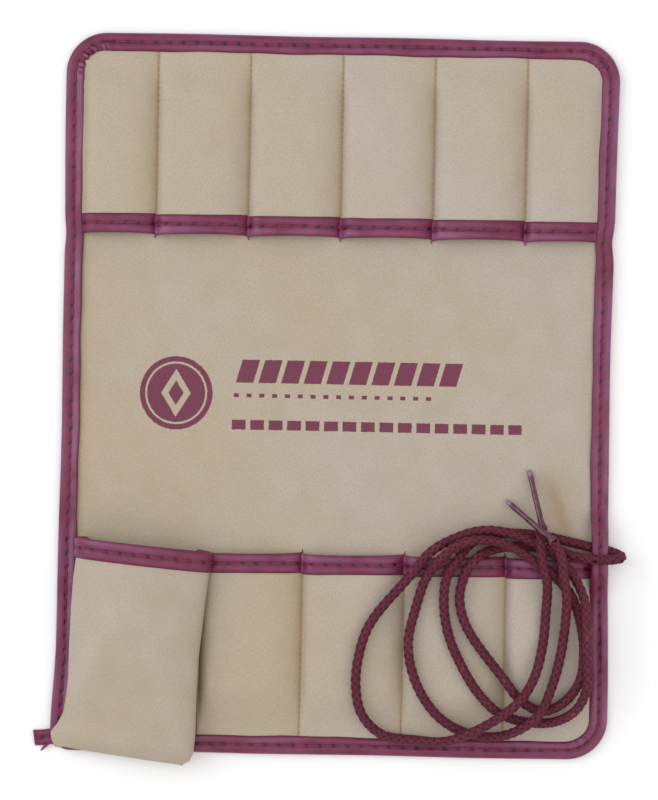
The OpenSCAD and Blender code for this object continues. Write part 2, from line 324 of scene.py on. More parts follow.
# The roundel's place across, its radius, the pale ring in it, and the pale outline of its lozenge
ROUNDEL_X = -0.0628
ROUNDEL_R = 0.0143
ROUNDEL_RING = (0.0114, 0.0122)
LOZENGE = (0.0030, 0.0058)
LOZENGE_SLIM = 0.62


def print_mask(tree, uv):
    """The ink on the back panel: a plain roundel and rows of plain blocks, with no lettering."""
    split = add(tree, "ShaderNodeSeparateXYZ", {0: uv})
    rag = calc(tree, "MULTIPLY", calc(tree, "SUBTRACT", noise(tree, uv, 900.0), 0.5), 0.0005)
    x = calc(tree, "ADD", split.outputs[0], rag)
    y = calc(tree, "ADD", split.outputs[1], rag)
    edge = 0.0001

    def within(value, low, high):
        rise = step_between(tree, value, low - edge, low + edge)
        fall = step_between(tree, value, high + edge, high - edge)
        return calc(tree, "MULTIPLY", rise, fall)

    def block_row(x_low, x_high, y_low, y_high, pitch, length, slant):
        leaned = calc(tree, "MULTIPLY_ADD", y, -slant, x)
        place = calc(tree, "SUBTRACT", leaned, x_low)
        part = calc(tree, "MODULO", place, pitch)
        mask = calc(tree, "MULTIPLY", within(part, edge * 2, length), within(y, y_low, y_high))
        return calc(tree, "MULTIPLY", mask, within(place, 0.0, x_high - x_low))

    from_x = calc(tree, "ADD", x, -ROUNDEL_X)
    radius = calc(tree, "SQRT", calc(
        tree, "MULTIPLY_ADD", from_x, from_x, calc(tree, "MULTIPLY", y, y)
    ))
    ring_gap = within(radius, *ROUNDEL_RING)
    lozenge = calc(tree, "ADD", calc(tree, "ABSOLUTE", from_x), calc(
        tree, "MULTIPLY", calc(tree, "ABSOLUTE", y), LOZENGE_SLIM
    ))
    inside, outside = [within(lozenge, -1.0, reach) for reach in LOZENGE]
    cut = calc(tree, "MAXIMUM", ring_gap, calc(tree, "SUBTRACT", outside, inside))
    ink = calc(tree, "SUBTRACT", within(radius, -1.0, ROUNDEL_R), cut, clamp=True)
    for row in PRINT_ROWS:
        ink = calc(tree, "MAXIMUM", ink, block_row(*row))
    return ink


def cloth_material(name, printed=False):
    """Beige vinyl-faced cloth with a fine brushed grain, with painted shade beside its seams."""
    material, tree, shader = new_material(
        name, Roughness=0.62, Sheen_Weight=0.06, Sheen_Roughness=0.5, Specular_IOR_Level=0.3
    )
    uv = flat_map(tree)
    across = add(tree, "ShaderNodeSeparateXYZ", {0: uv}).outputs[0]
    broad = calc(tree, "MULTIPLY_ADD", across, 1.8, noise(tree, uv, 14.0, 2.0))
    mottle = noise(tree, uv, 85.0, 3.0, 0.6)
    speck = noise(tree, uv, 1350.0, 2.0, 0.75)
    grain = noise(tree, stretched(tree, uv, 1.0, 0.35), 2400.0, 2.0, 0.6)
    colour = mix(tree, step_between(tree, broad, 0.30, 0.70), CLOTH_WARM, CLOTH_COOL)
    colour = mix(tree, 0.4, colour, CLOTH)
    for value, low, high, share, other in (
        (mottle, 0.48, 0.75, 0.10, CLOTH_TAN_AND_SHADE), (speck, 0.50, 0.72, 0.28, CLOTH_DARK),
        (speck, 0.46, 0.24, 0.28, CLOTH_LINT), (grain, 0.52, 0.72, 0.24, CLOTH_DARK),
        (grain, 0.46, 0.26, 0.24, CLOTH_LINT),
    ):
        colour = tint(tree, colour, other, step_between(tree, value, low, high), share)
    # Random tone plus painted light: tan painted shade where the value is above 0, a pale painted
    # highlight where it is below 0
    tone_and_painted_light = attribute(tree, "tone_and_painted_light")
    colour = tint(tree, colour, CLOTH_TAN_AND_SHADE, tone_and_painted_light, 0.9)
    colour = tint(tree, colour, CLOTH_PAINTED_HIGHLIGHT, tone_and_painted_light, -1.0)
    # Painted shade in the valleys of the pocket seams
    colour = mix(tree, attribute(tree, "crease"), colour, SEAM_CREASE_SHADE)
    if printed:
        ink = calc(tree, "MULTIPLY", print_mask(tree, uv), attribute(tree, "face"))
        worn = step_between(tree, speck, 0.74, 0.58)
        ink = calc(tree, "MULTIPLY", ink, calc(tree, "MULTIPLY_ADD", worn, 0.20, 0.78))
        colour = mix(tree, ink, colour, INK)
    tree.links.new(colour, shader.inputs["Base Color"])
    tree.links.new(calc(tree, "MULTIPLY_ADD", grain, 0.18, 0.54), shader.inputs["Roughness"])
    below = bump(tree, shader, grain, 0.45, 0.00025)
    below = bump(tree, shader, speck, 0.35, 0.0003, below)
    bump(tree, shader, mottle, 0.18, 0.0009, below)
    return material


def tape_material(name, groove, width):
    """Plum vinyl tape: a needle-holed groove along its middle, with painted highlights on the ridges
    beside it and painted shade in its creases, groove, holes and edge.
    """
    material, tree, shader = new_material(
        name, Roughness=0.42, Coat_Weight=0.09, Coat_Roughness=0.25, Specular_IOR_Level=0.32
    )
    uv = flat_map(tree)
    split = add(tree, "ShaderNodeSeparateXYZ", {0: uv})
    along, across = split.outputs[0], split.outputs[1]
    mottle = noise(tree, uv, 160.0, 3.0, 0.6)
    patch = noise(tree, uv, 38.0, 2.0, 0.5)
    grain = noise(tree, uv, 1900.0, 2.0, 0.6)
    scuff = noise(tree, stretched(tree, uv, 0.25), 700.0)
    colour = mix(tree, step_between(tree, mottle, 0.35, 0.7), TAPE, TAPE_DARK)
    colour = mix(tree, 0.55, colour, TAPE)
    # Painted light: a painted highlight on the ridges where the value is above 0, painted shade where it
    # is below 0
    painted_light = attribute(tree, "painted_light")
    painted_light_share = calc(tree, "MULTIPLY", painted_light, step_between(tree, patch, 0.3, 0.62))
    painted_light_share = calc(tree, "MULTIPLY", painted_light_share, calc(tree, "MULTIPLY_ADD", scuff, 0.5, 0.34), clamp=True)
    colour = mix(tree, painted_light_share, colour, TAPE_PAINTED_HIGHLIGHT)
    colour = tint(tree, colour, TAPE_DARK, painted_light, -0.8)
    off_groove = calc(tree, "SUBTRACT", across, groove * MM)
    from_groove = calc(tree, "ABSOLUTE", off_groove)
    # Painted shade in the groove
    colour = tint(tree, colour, TAPE_DARK, step_between(tree, from_groove, 0.0009, 0.0002), 0.12)
    # Painted shade in the needle holes between the stitches
    part = calc(tree, "MODULO", along, STITCH_PITCH * MM)
    slanted = calc(tree, "MULTIPLY_ADD", off_groove, -0.6, part)
    from_hole = calc(tree, "ABSOLUTE", calc(tree, "SUBTRACT", slanted, STITCH_PITCH * MM / 2))
    hole_far = calc(tree, "SQRT", calc(
        tree, "MULTIPLY_ADD", calc(tree, "MULTIPLY", from_hole, 0.45), from_hole,
        calc(tree, "MULTIPLY", from_groove, from_groove),
    ))
    uneven = calc(tree, "MULTIPLY_ADD", step_between(tree, mottle, 0.38, 0.6), 0.25, 0.7)
    colour = tint(tree, colour, TAPE_HOLE_SHADE, step_between(tree, hole_far, 0.00095, 0.0004), uneven)
    # Painted shade along the tape's edge away from the outline or the mouth, where it turns down to the
    # cloth
    rim = step_between(tree, across, (width - 0.7) * MM, (width - 0.1) * MM)
    colour = tint(tree, colour, TAPE_DARK, rim, 0.6)
    tree.links.new(colour, shader.inputs["Base Color"])
    rough = calc(tree, "MULTIPLY_ADD", scuff, 0.2, 0.28)
    tree.links.new(rough, shader.inputs["Roughness"])
    below = bump(tree, shader, grain, 0.25, 0.00016)
    bump(tree, shader, mottle, 0.35, 0.0004, below)
    return material


def thread_material(name, base, dark):
    """Twisted sewing thread, striped by its plies."""
    material, tree, shader = new_material(
        name, Roughness=0.6, Sheen_Weight=0.04, Specular_IOR_Level=0.25
    )
    uv = flat_map(tree)
    split = add(tree, "ShaderNodeSeparateXYZ", {0: uv})
    twist = calc(tree, "ADD", calc(tree, "MULTIPLY", split.outputs[0], 7000.0), calc(
        tree, "MULTIPLY", split.outputs[1], 6.283
    ))
    ply = calc(tree, "MULTIPLY_ADD", calc(tree, "SINE", twist), 0.5, 0.5)
    tree.links.new(mix(tree, ply, dark, base), shader.inputs["Base Color"])
    bump(tree, shader, ply, 0.6, 0.0001)
    return material


def braid_material():
    """Dark maroon fibres that run along each strand of the braid."""
    material, tree, shader = new_material(
        "lace_braid", Roughness=0.6, Sheen_Weight=0.14, Sheen_Roughness=0.35, Specular_IOR_Level=0.35
    )
    shader.inputs["Sheen Tint"].default_value = linear(200, 110, 150)
    uv = flat_map(tree)
    fibre = noise(tree, stretched(tree, uv, 0.08), 5200.0)
    colour = mix(tree, step_between(tree, fibre, 0.35, 0.7), BRAID_DARK, BRAID)
    worn = step_between(tree, noise(tree, uv, 45.0), 0.5, 0.8)
    colour = tint(tree, colour, BRAID_LIGHT, worn, 0.3)
    # Painted shade in the gaps between the strands, darker where a strand lies deep
    depth = attribute(tree, "depth")
    colour = mix(tree, depth, BRAID_GAP_SHADE, colour)
    tree.links.new(colour, shader.inputs["Base Color"])
    bump(tree, shader, fibre, 0.7, 0.00025)
    return material


def aglet_material():
    """Plum plastic tip under a clear, slightly rippled film."""
    material, tree, shader = new_material(
        "aglet_plastic", Roughness=0.4, Coat_Weight=0.8, Coat_Roughness=0.07, Specular_IOR_Level=0.3
    )
    uv = flat_map(tree)
    ripples = noise(tree, stretched(tree, uv, 0.5), 650.0)
    colour = mix(tree, step_between(tree, ripples, 0.35, 0.7), AGLET_DARK, AGLET)
    colour = mix(tree, attribute(tree, "film"), colour, AGLET_FILM)
    tree.links.new(colour, shader.inputs["Base Color"])
    film = add(tree, "ShaderNodeBump", {"Height": ripples, "Strength": 0.4, "Distance": 0.0003})
    tree.links.new(film.outputs[0], shader.inputs["Coat Normal"])
    bump(tree, shader, noise(tree, uv, 2200.0, 2.0), 0.3, 0.0002)
    return material


MATERIALS = {
    "panel": cloth_material("panel_cloth", printed=True),
    "cloth": cloth_material("pocket_cloth"),
    "edge": tape_material("edge_tape", GROOVE_Q, TAPE_W),
    "band": tape_material("mouth_tape", BAND_W / 2, BAND_W),
    "thread": thread_material("plum_thread", linear(134, 62, 92), linear(102, 38, 66)),
    "seam": thread_material("seam_thread", linear(172, 148, 118), linear(146, 120, 92)),
    "braid": braid_material(),
    "aglet": aglet_material(),
}

# ---- Mesh helpers ----


def build(name, points, faces, uv, material, values=None, sharp=50.0):
    """A smooth mesh from points in millimetres, with its flat map and its values for the shaders."""
    mesh = bpy.data.meshes.new(name)
    mesh.from_pydata(metres(points).tolist(), [], [tuple(map(int, f)) for f in faces])
    mesh.validate()
    layer = mesh.uv_layers.new(name="flat")
    corner = np.zeros(len(mesh.loops), int)
    mesh.loops.foreach_get("vertex_index", corner)
    layer.data.foreach_set("uv", (np.asarray(uv, float)[corner] * MM).ravel())
    for key, value in (values or {}).items():
        made = mesh.attributes.new(key, "FLOAT", "POINT")
        made.data.foreach_set("value", np.asarray(value, np.float32))
    mesh.shade_smooth()
    mesh.set_sharp_from_angle(angle=math.radians(sharp))
    mesh.materials.append(MATERIALS[material])
    piece = bpy.data.objects.new(name, mesh)
    bpy.context.scene.collection.objects.link(piece)
    return piece


def bend(piece):
    """Bakes a piece's placement into its mesh."""
    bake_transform(piece)


def smooth(t):
    t = np.clip(t, 0.0, 1.0)
    return t * t * (3 - 2 * t)


def ripple(x, y, seed):
    """Broad unevenness of cloth, from -1 to 1."""
    waves = [(0.031, 0.017), (0.047, -0.039), (0.011, 0.061), (0.083, 0.029)]
    total = 0.0
    for k, (turns_x, turns_y) in enumerate(waves):
        total = total + np.sin(2 * math.pi * (turns_x * x + turns_y * y) + 1.7 * seed * (k + 1))
    return total / len(waves)


def waist(x, y):
    """Sideways shift of a place: the long edges draw in at mid height and at the mouth tape."""
    rise = (1 - np.clip(y / HALF_H, -1, 1) ** 2) ** 2
    right = 1.6 * smooth((x - 60) / 48)
    left = 0.8 * smooth((-x - 60) / 48)
    flare = 1.2 * smooth((-x - 60) / 48) * smooth((-y - 98) / 34)
    pull = np.exp(-(((y - MOUTH_Y) / 5.0) ** 2))
    notch = 0.5 * smooth((-x - 92) / 14) - 0.9 * smooth((x - 92) / 14)
    return rise * (left - right) - flare + pull * notch


def edge_y(x, inset, left_r=CORNER_R):
    """Half height of the outline, drawn in by inset, at a place across it."""
    corner = np.where(x < 0, left_r, CORNER_R)
    r = corner - inset
    over = np.clip(np.abs(x) - (HALF_W - corner), 0, r)
    return HALF_H - corner + np.sqrt(np.maximum(r * r - over * over, 0))


def span(side):
    """The left and right ends of one side of the roll."""
    return {
        "right": (CUTS[0], INSIDE_X), "middle": (CUTS[1], CUTS[0]), "left": (-INSIDE_X, CUTS[1])
    }[side]


def columns(low, high, seams, step):
    """Places across a cloth grid, closer together beside the seams and at the rounded corners."""
    near = [0.0, 0.3, 0.65, 1.1, 1.6, 2.2, 3.0, 4.0, 5.2, 6.8, 8.6]
    marks = {low, high}
    for seam in seams:
        marks.update(seam + sign * gap for gap in near for sign in (-1, 1))
    for gap in (0.25, 0.8, 1.7, 3.0, 4.8, 7.2, 10.5, 14.0):
        marks.update([-INSIDE_X + gap, INSIDE_X - gap])
    places = sorted(m for m in marks if low <= m <= high)
    kept = [places[0]]
    for mark in places[1:]:
        if mark - kept[-1] > 0.2:
            kept.append(mark)
    kept[-1] = high
    filled = [kept[0]]
    for mark in kept[1:]:
        parts = max(1, math.ceil((mark - filled[-1]) / step))
        filled.extend(np.linspace(filled[-1], mark, parts + 1)[1:])
    return np.array(filled)


def grid_faces(across, along, flip=False, offset=0):
    """Quads of a grid of points laid out column by column."""
    faces = []
    for i in range(across - 1):
        for j in range(along - 1):
            a = offset + i * along + j
            quad = (a, a + along, a + along + 1, a + 1)
            faces.append(quad[::-1] if flip else quad)
    return faces


def slab(name, xs, ys, top, thickness, material, tone_and_painted_light, crease):
    """Cloth of real thickness over a grid: ys holds each column's places, and top its heights."""
    across, along = ys.shape
    x = np.repeat(xs[:, None], along, axis=1)
    shift = waist(x, ys)
    upper = np.stack([x + shift, ys, top], axis=-1).reshape(-1, 3)
    lower = np.stack([x + shift, ys, top - thickness], axis=-1).reshape(-1, 3)
    flat = np.stack([x, ys], axis=-1).reshape(-1, 2)
    count = across * along
    faces = grid_faces(across, along) + grid_faces(across, along, flip=True, offset=count)
    for i in range(across - 1):
        for j, turned in ((0, False), (along - 1, True)):
            a, b = i * along + j, (i + 1) * along + j
            quad = (a, a + count, b + count, b)
            faces.append(quad[::-1] if turned else quad)
    for i, turned in ((0, True), (across - 1, False)):
        for j in range(along - 1):
            a, b = i * along + j, i * along + j + 1
            quad = (a, a + count, b + count, b)
            faces.append(quad[::-1] if turned else quad)
    values = {
        "tone_and_painted_light": np.concatenate([tone_and_painted_light.ravel(), tone_and_painted_light.ravel()]),
        "crease": np.concatenate([crease.ravel(), crease.ravel()]),
        "face": np.concatenate([np.ones(count), np.zeros(count)]),
    }
    return build(
        name, np.vstack([upper, lower]), faces, np.vstack([flat, flat]), material, values
    )


def ring_faces(count, size, start=0, flip=False, caps=True):
    """Quads between successive closed rings of points, with a face over each end if it has caps."""
    faces = []
    for i in range(count - 1):
        for k in range(size):
            a, b = start + i * size + k, start + i * size + (k + 1) % size
            faces.append((a, a + size, b + size, b) if flip else (a, b, b + size, a + size))
    if caps:
        near = tuple(range(start, start + size))
        far = tuple(k + (count - 1) * size for k in near)
        faces.extend([near, far[::-1]] if flip else [near[::-1], far])
    return faces


def sweep(name, rings, flats, material, values=None):
    """A closed skin through rings of points, which all have the same number of points."""
    rings = np.asarray(rings, float)
    return build(
        name, rings.reshape(-1, 3), ring_faces(*rings.shape[:2]),
        np.asarray(flats).reshape(-1, 2), material, values, 60.0,
    )


# ---- Tie lace ----

LOOP_POINTS = [
    [101, -57, 4.4], [105, -57.6, 4.4], [109, -58.8, 4.8], [111.3, -59.8, 6.6],
    [111.2, -60.6, 9], [108.6, -61.2, 10.2], [105, -61.4, 10.2], [101, -61.4, 10.2]
]
FIRST_POINTS = [
    [101, -57, 4.4], [82, -53, 4.5], [71, -52, 4.5], [60.5, -53, 4.5], [53, -56.5, 5.5],
    [48.5, -61.5, 10.5], [44, -69, 10.5], [43, -80, 9.5], [45, -91.5, 9.5], [50, -103, 9.5],
    [57, -114, 9.5], [65, -121.5, 9], [76, -125, 8], [87, -124.5, 8.5], [95, -119.5, 10.5],
    [98.5, -111, 13.5], [98.5, -99, 14], [98, -87, 14], [97, -77, 13.5], [93.5, -69, 11.5],
    [88, -62, 11.5], [79.5, -56.5, 9.5], [69, -52, 9.5], [57, -51, 9.5], [46, -54.5, 9],
    [37.5, -59.5, 10.5], [30.5, -68, 10.5], [14.5, -88, 9.5], [10.5, -100, 9.5], [9.5, -112, 9.5],
    [12, -123, 9], [20, -131, 6.5], [33, -133, 6], [44.5, -133, 9],
    [54.5, -129, 12.5], [64, -123.5, 13.5], [73, -116, 14], [78.5, -107, 11.5],
    [81.5, -95, 9.5], [82.5, -82, 10], [82.5, -71, 14], [80.5, -62, 15.5], [79.5, -55, 15],
    [80.5, -49.5, 10.5]
]
SECOND_POINTS = [
    [101, -61.4, 10.2], [93, -60, 9.5], [85, -58, 5.5], [75, -57, 4.5], [64, -58, 5],
    [56, -61, 10], [51.5, -67, 10.5], [49, -77, 9.5], [52, -88.5, 9.5], [66.5, -108, 9.5],
    [73.5, -116.5, 9.5], [82, -120.5, 9], [90, -117, 9.5], [96, -109, 9.5],
    [97.5, -97.5, 9.5], [96, -86, 9.5], [92.5, -76, 10], [86.5, -69, 10.5],
    [78.5, -63, 10.5], [69.5, -57.5, 10], [59, -54.5, 12.5], [49, -56, 14.5],
    [41.5, -62, 12.5], [36, -69.5, 10.5], [32, -82, 9.5], [29.5, -94, 9.5], [31, -105.5, 9.5],
    [36, -116.5, 9.5], [43.5, -125, 8], [53.5, -130, 6.5], [64, -131, 7], [73, -127.5, 12],
    [80.5, -121, 14], [85, -111.5, 11.5], [88.5, -99, 9.5], [90, -86, 11.5], [90, -76, 15],
    [88.5, -67, 16.5], [87, -59, 17.5], [84, -54, 19.5]
]
FIRST_TIP = [75.4, -27.4, 3.5]
SECOND_TIP = [67, -39.6, 3.5]


def curve_through(points, spacing):
    """A smooth line through the points, as places about one spacing apart."""
    p = np.asarray(points, float)
    p = np.vstack([2 * p[0] - p[1], p, 2 * p[-1] - p[-2]])
    fine = []
    for a, b, c, d in zip(p, p[1:], p[2:], p[3:]):
        knots = [0.0]
        for u, v in ((a, b), (b, c), (c, d)):
            knots.append(knots[-1] + math.sqrt(np.linalg.norm(v - u)))
        t0, t1, t2, t3 = knots
        for t in np.linspace(t1, t2, 24, endpoint=False):
            ab = (t1 - t) / (t1 - t0) * a + (t - t0) / (t1 - t0) * b
            bc = (t2 - t) / (t2 - t1) * b + (t - t1) / (t2 - t1) * c
            cd = (t3 - t) / (t3 - t2) * c + (t - t2) / (t3 - t2) * d
            abc = (t2 - t) / (t2 - t0) * ab + (t - t0) / (t2 - t0) * bc
            bcd = (t3 - t) / (t3 - t1) * bc + (t - t1) / (t3 - t1) * cd
            fine.append((t2 - t) / (t2 - t1) * abc + (t - t1) / (t2 - t1) * bcd)
    fine.append(p[-2])
    fine = np.array(fine)
    run = np.concatenate([[0], np.cumsum(np.linalg.norm(np.diff(fine, axis=0), axis=1))])
    places = np.linspace(0, run[-1], max(2, round(run[-1] / spacing)) + 1)
    return np.stack([np.interp(places, run, fine[:, k]) for k in range(3)], axis=1), places


def frames_along(line):
    """A heading and two square directions at each point of a line, turning as little as they can."""
    heading = np.gradient(line, axis=0)
    heading /= np.linalg.norm(heading, axis=1)[:, None]
    side = np.cross(heading[0], [0, 0, 1.0])
    side /= np.linalg.norm(side)
    sides = []
    for h in heading:
        side = side - h * np.dot(side, h)
        side /= np.linalg.norm(side)
        sides.append(side)
    sides = np.array(sides)
    return heading, sides, np.cross(heading, sides)


STRANDS = 4
BRAID_PITCH = 12.5
BRAID_R = 1.36
BRAID_WAVE = 0.26
STRAND_RING = [
    (-0.80, 0.0), (-0.66, 0.24), (-0.34, 0.38), (0.0, 0.42), (0.34, 0.38), (0.66, 0.24), (0.80, 0.0),
    (0.0, -0.12)
]


def braid(name, points, spacing=0.78):
    """Round lace of two sets of flat strands, woven over and under each other round a core."""
    line, run = curve_through(points, spacing)
    heading, side, up = frames_along(line)
    rings, flats, depth = [], [], []
    for turn in (1, -1):
        for k in range(STRANDS):
            start = 2 * math.pi * k / STRANDS + (0 if turn > 0 else math.pi / STRANDS)
            phase = 2 * math.pi * run / BRAID_PITCH
            angle = start + turn * phase
            radius = BRAID_R + turn * BRAID_WAVE * np.sin(STRANDS * phase)
            out = np.cos(angle)[:, None] * side + np.sin(angle)[:, None] * up
            round_way = -np.sin(angle)[:, None] * side + np.cos(angle)[:, None] * up
            lead = 2 * math.pi * BRAID_R / BRAID_PITCH * turn
            slope = heading + round_way * lead
            slope /= np.linalg.norm(slope, axis=1)[:, None]
            width_way = np.cross(out, slope)
            centre = line + out * radius[:, None]
            strand = [centre + width_way * w + out * h for w, h in STRAND_RING]
            rings.append(np.stack(strand, axis=1))
            across = np.arange(len(STRAND_RING)) * 0.35 + 10 * (k + STRANDS * (turn > 0))
            flats.append(np.stack([
                np.repeat(run[:, None], len(STRAND_RING), axis=1),
                np.repeat(across[None, :], len(run), axis=0),
            ], axis=-1))
            lift = (radius[:, None] + np.array([h for _, h in STRAND_RING])[None, :])
            depth.append(np.clip((lift - 1.2) / 0.55, 0, 1))
    size = len(STRAND_RING)
    faces = []
    for i in range(len(rings)):
        faces.extend(ring_faces(len(run), size, i * len(run) * size, flip=True))
    piece = build(
        name, np.vstack([ring.reshape(-1, 3) for ring in rings]), faces,
        np.vstack([f.reshape(-1, 2) for f in flats]), "braid",
        {"depth": np.concatenate([d.ravel() for d in depth])},
    )
    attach(piece, "base")
    return piece, line, run[-1]


def lathe_along(name, start, tip, profile, material, ripples, film_from):
    """A turned piece from start towards tip: profile holds places along it and radii."""
    start, tip = np.array(start, float), np.array(tip, float)
    axis = tip - start
    axis /= np.linalg.norm(axis)
    side = np.cross(axis, [0, 0, 1.0])
    side /= np.linalg.norm(side)
    up = np.cross(side, axis)
    sectors = 20
    angles = np.linspace(0, 2 * math.pi, sectors, endpoint=False)
    rings, flats, film = [], [], []
    for place, radius in profile:
        wave = 1 + ripples * np.sin(3 * angles + place * 1.3)
        ring = start + axis * place
        ring = ring + radius * (
            (wave * np.cos(angles))[:, None] * side + (wave * np.sin(angles))[:, None] * up
        )
        rings.append(ring)
        flats.append([(place, a) for a in angles])
        film.extend([0.9 * float(smooth((place - film_from) / 1.2))] * sectors)
    return sweep(name, rings, flats, material, {"film": film})


def aglet(name, start, tip):
    """Hard tip of the lace: a crimped film sleeve that tapers from the braid, with a rounded end."""
    length = float(np.linalg.norm(np.array(tip, float) - np.array(start, float)))
    profile = [
        (-0.6, 1.80), (-0.5, 1.90), (0.2, 1.88), (0.9, 1.66), (1.8, 1.40), (2.6, 1.26), (3.4, 1.19),
        (5.5, 1.15), (6.0, 1.20), (6.5, 1.15), (9.5, 1.12), (13.0, 1.11), (13.4, 1.15), (13.8, 1.11),
    ]
    profile += [
        (length - 4.0, 1.10), (length - 3.0, 1.10), (length - 2.0, 1.09), (length - 1.2, 1.08),
        (length - 0.5, 0.98), (length - 0.15, 0.72), (length, 0.35),
    ]
    piece = lathe_along(name, start, tip, profile, "aglet", 0.035, length - 3.2)
    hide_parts(name.replace("tip", "aglet"))
    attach(piece, "base")
    return piece


def build_lace():
    loop, _, _ = braid("lace_loop_braid", LOOP_POINTS)
    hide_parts("lace_loop")
    for part, points, tip in (
        ("first", FIRST_POINTS, FIRST_TIP), ("second", SECOND_POINTS, SECOND_TIP)
    ):
        end = aglet("tip_" + part, points[-1], tip)
        piece, line, length = braid("lace_braid_" + part, points)
        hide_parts("lace_" + part)


build_lace()

# ---- Back panel and pockets ----


def seam_span(x, seams):
    """Distances from the seams on the left and on the right of each place."""
    seams = np.array(seams)
    index = np.clip(np.searchsorted(seams, x, side="right") - 1, 0, len(seams) - 2)
    return x - seams[index], seams[index + 1] - x, index


def pocket_rise(x, seams):
    """How far a pocket's cloth has risen between its seams, from 0 on a seam to about 1."""
    left, right, index = seam_span(x, seams)
    left = left - np.where((index == 0) & (seams[0] < -HALF_W + 10), TAPE_W - 0.8, 0.35)
    right = right - np.where(index == len(seams) - 2, TAPE_W - 0.8, 0.35)
    near_left = 1 - np.exp(-np.maximum(left, 0) / 1.9)
    near_right = 1 - np.exp(-np.maximum(right, 0) / 5.6)
    return near_left * near_right


def pocket_height(x, y, seams, seed):
    """Outer height of a row's cloth, for places x and distances y towards its closed end."""
    close = smooth((WINDOW_Y - 0.5 - y) / 19.0)
    rise = pocket_rise(x, seams)
    swell = 0.93 + 0.07 * ripple(x, y, seed)
    wrinkle = 0.22 * ripple(2.1 * x, 1.3 * y, seed + 3) * rise * smooth((y - MOUTH_Y - 6) / 12)
    return RIM_Z + (TOP_Z - RIM_Z) * rise * swell * close + wrinkle * close


def painted_seam_shade(x, seams, amount):
    """Painted shade: yellowed, darker cloth on the left of each seam, fading away from it, a darker line
    along each seam, and a painted shadow beside the left binding.
    """
    left, right, _ = seam_span(x, seams)
    line = np.exp(-np.minimum(left, right) / 0.5)
    beside_edge = 0.5 * np.exp(-np.abs(x + WINDOW_X) / 1.3)
    return np.clip(amount * np.exp(-right / 5.0) + 0.6 * line + beside_edge, 0, 1)


def seam_crease_shade(x, seams):
    """Painted shade: the thin dark line in the valley of each sewn seam."""
    left, right, _ = seam_span(x, seams)
    return 0.40 * np.exp(-((np.minimum(left, right) / 0.42) ** 2))


def pocket_row(row, seams, low, seed, seam_shade_amount):
    """The cloth of one row of pockets, in three pieces, one for each side of the roll."""
    sign = 1 if row == "upper" else -1
    rows = 46
    for side in SIDES:
        left, right = span(side)
        left = max(left, low)
        xs = columns(left, right, seams, 2.2)
        t = np.linspace(0, 1, rows)
        t = t + 0.06 * np.sin(2 * math.pi * t) / (2 * math.pi)
        reach = edge_y(xs, TAPE_T)
        ys = (MOUTH_Y + TAPE_T) + t[None, :] * (reach[:, None] - MOUTH_Y - TAPE_T)
        x = np.repeat(xs[:, None], rows, axis=1)
        top = pocket_height(x, ys, seams, seed)
        # Painted shade beside the seams and the left binding, a little uneven
        tone_and_painted_light = painted_seam_shade(x, seams, seam_shade_amount) * (0.8 + 0.2 * ripple(x, ys * 2, 5))
        crease = seam_crease_shade(x, [s for s in seams if abs(s) < WINDOW_X or s == seams[-1]])
        # Painted shade: the lower row darker towards its left
        if row == "lower":
            tone_and_painted_light = tone_and_painted_light + 0.12 * smooth((30 - x) / 60)
        if sign < 0:
            ys, top, tone_and_painted_light = -ys[:, ::-1], top[:, ::-1], tone_and_painted_light[:, ::-1]
        piece = slab(
            f"{row}_pockets_{side}", xs, ys, top, CLOTH_T, "cloth", tone_and_painted_light, crease
        )
        bend(piece)
        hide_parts(*ROW_NODES[row][side])


ROW_NODES = {
    "upper": {
        "right": ["upper_pocket_4", "upper_pocket_5", "upper_pocket_6", "upper_pocket_3_inner"],
        "middle": ["upper_pocket_3_middle", "upper_pocket_2_middle"],
        "left": ["upper_pocket_1", "upper_pocket_2_handle"],
    },
    "lower": {
        "right": [
            "lower_pocket_2_base", "lower_pocket_3", "lower_pocket_4", "lower_pocket_2_inner"
        ],
        "middle": ["lower_pocket_1_inner", "lower_pocket_1_middle"],
        "left": ["lower_pocket_1_handle"],
    },
}


def soft_patch(x, y, middle, spread):
    """A soft patch, from 0 to 1, by its middle and its spread across and along the roll."""
    return np.exp(-(((x - middle[0]) / spread[0]) ** 2 + ((y - middle[1]) / spread[1]) ** 2))


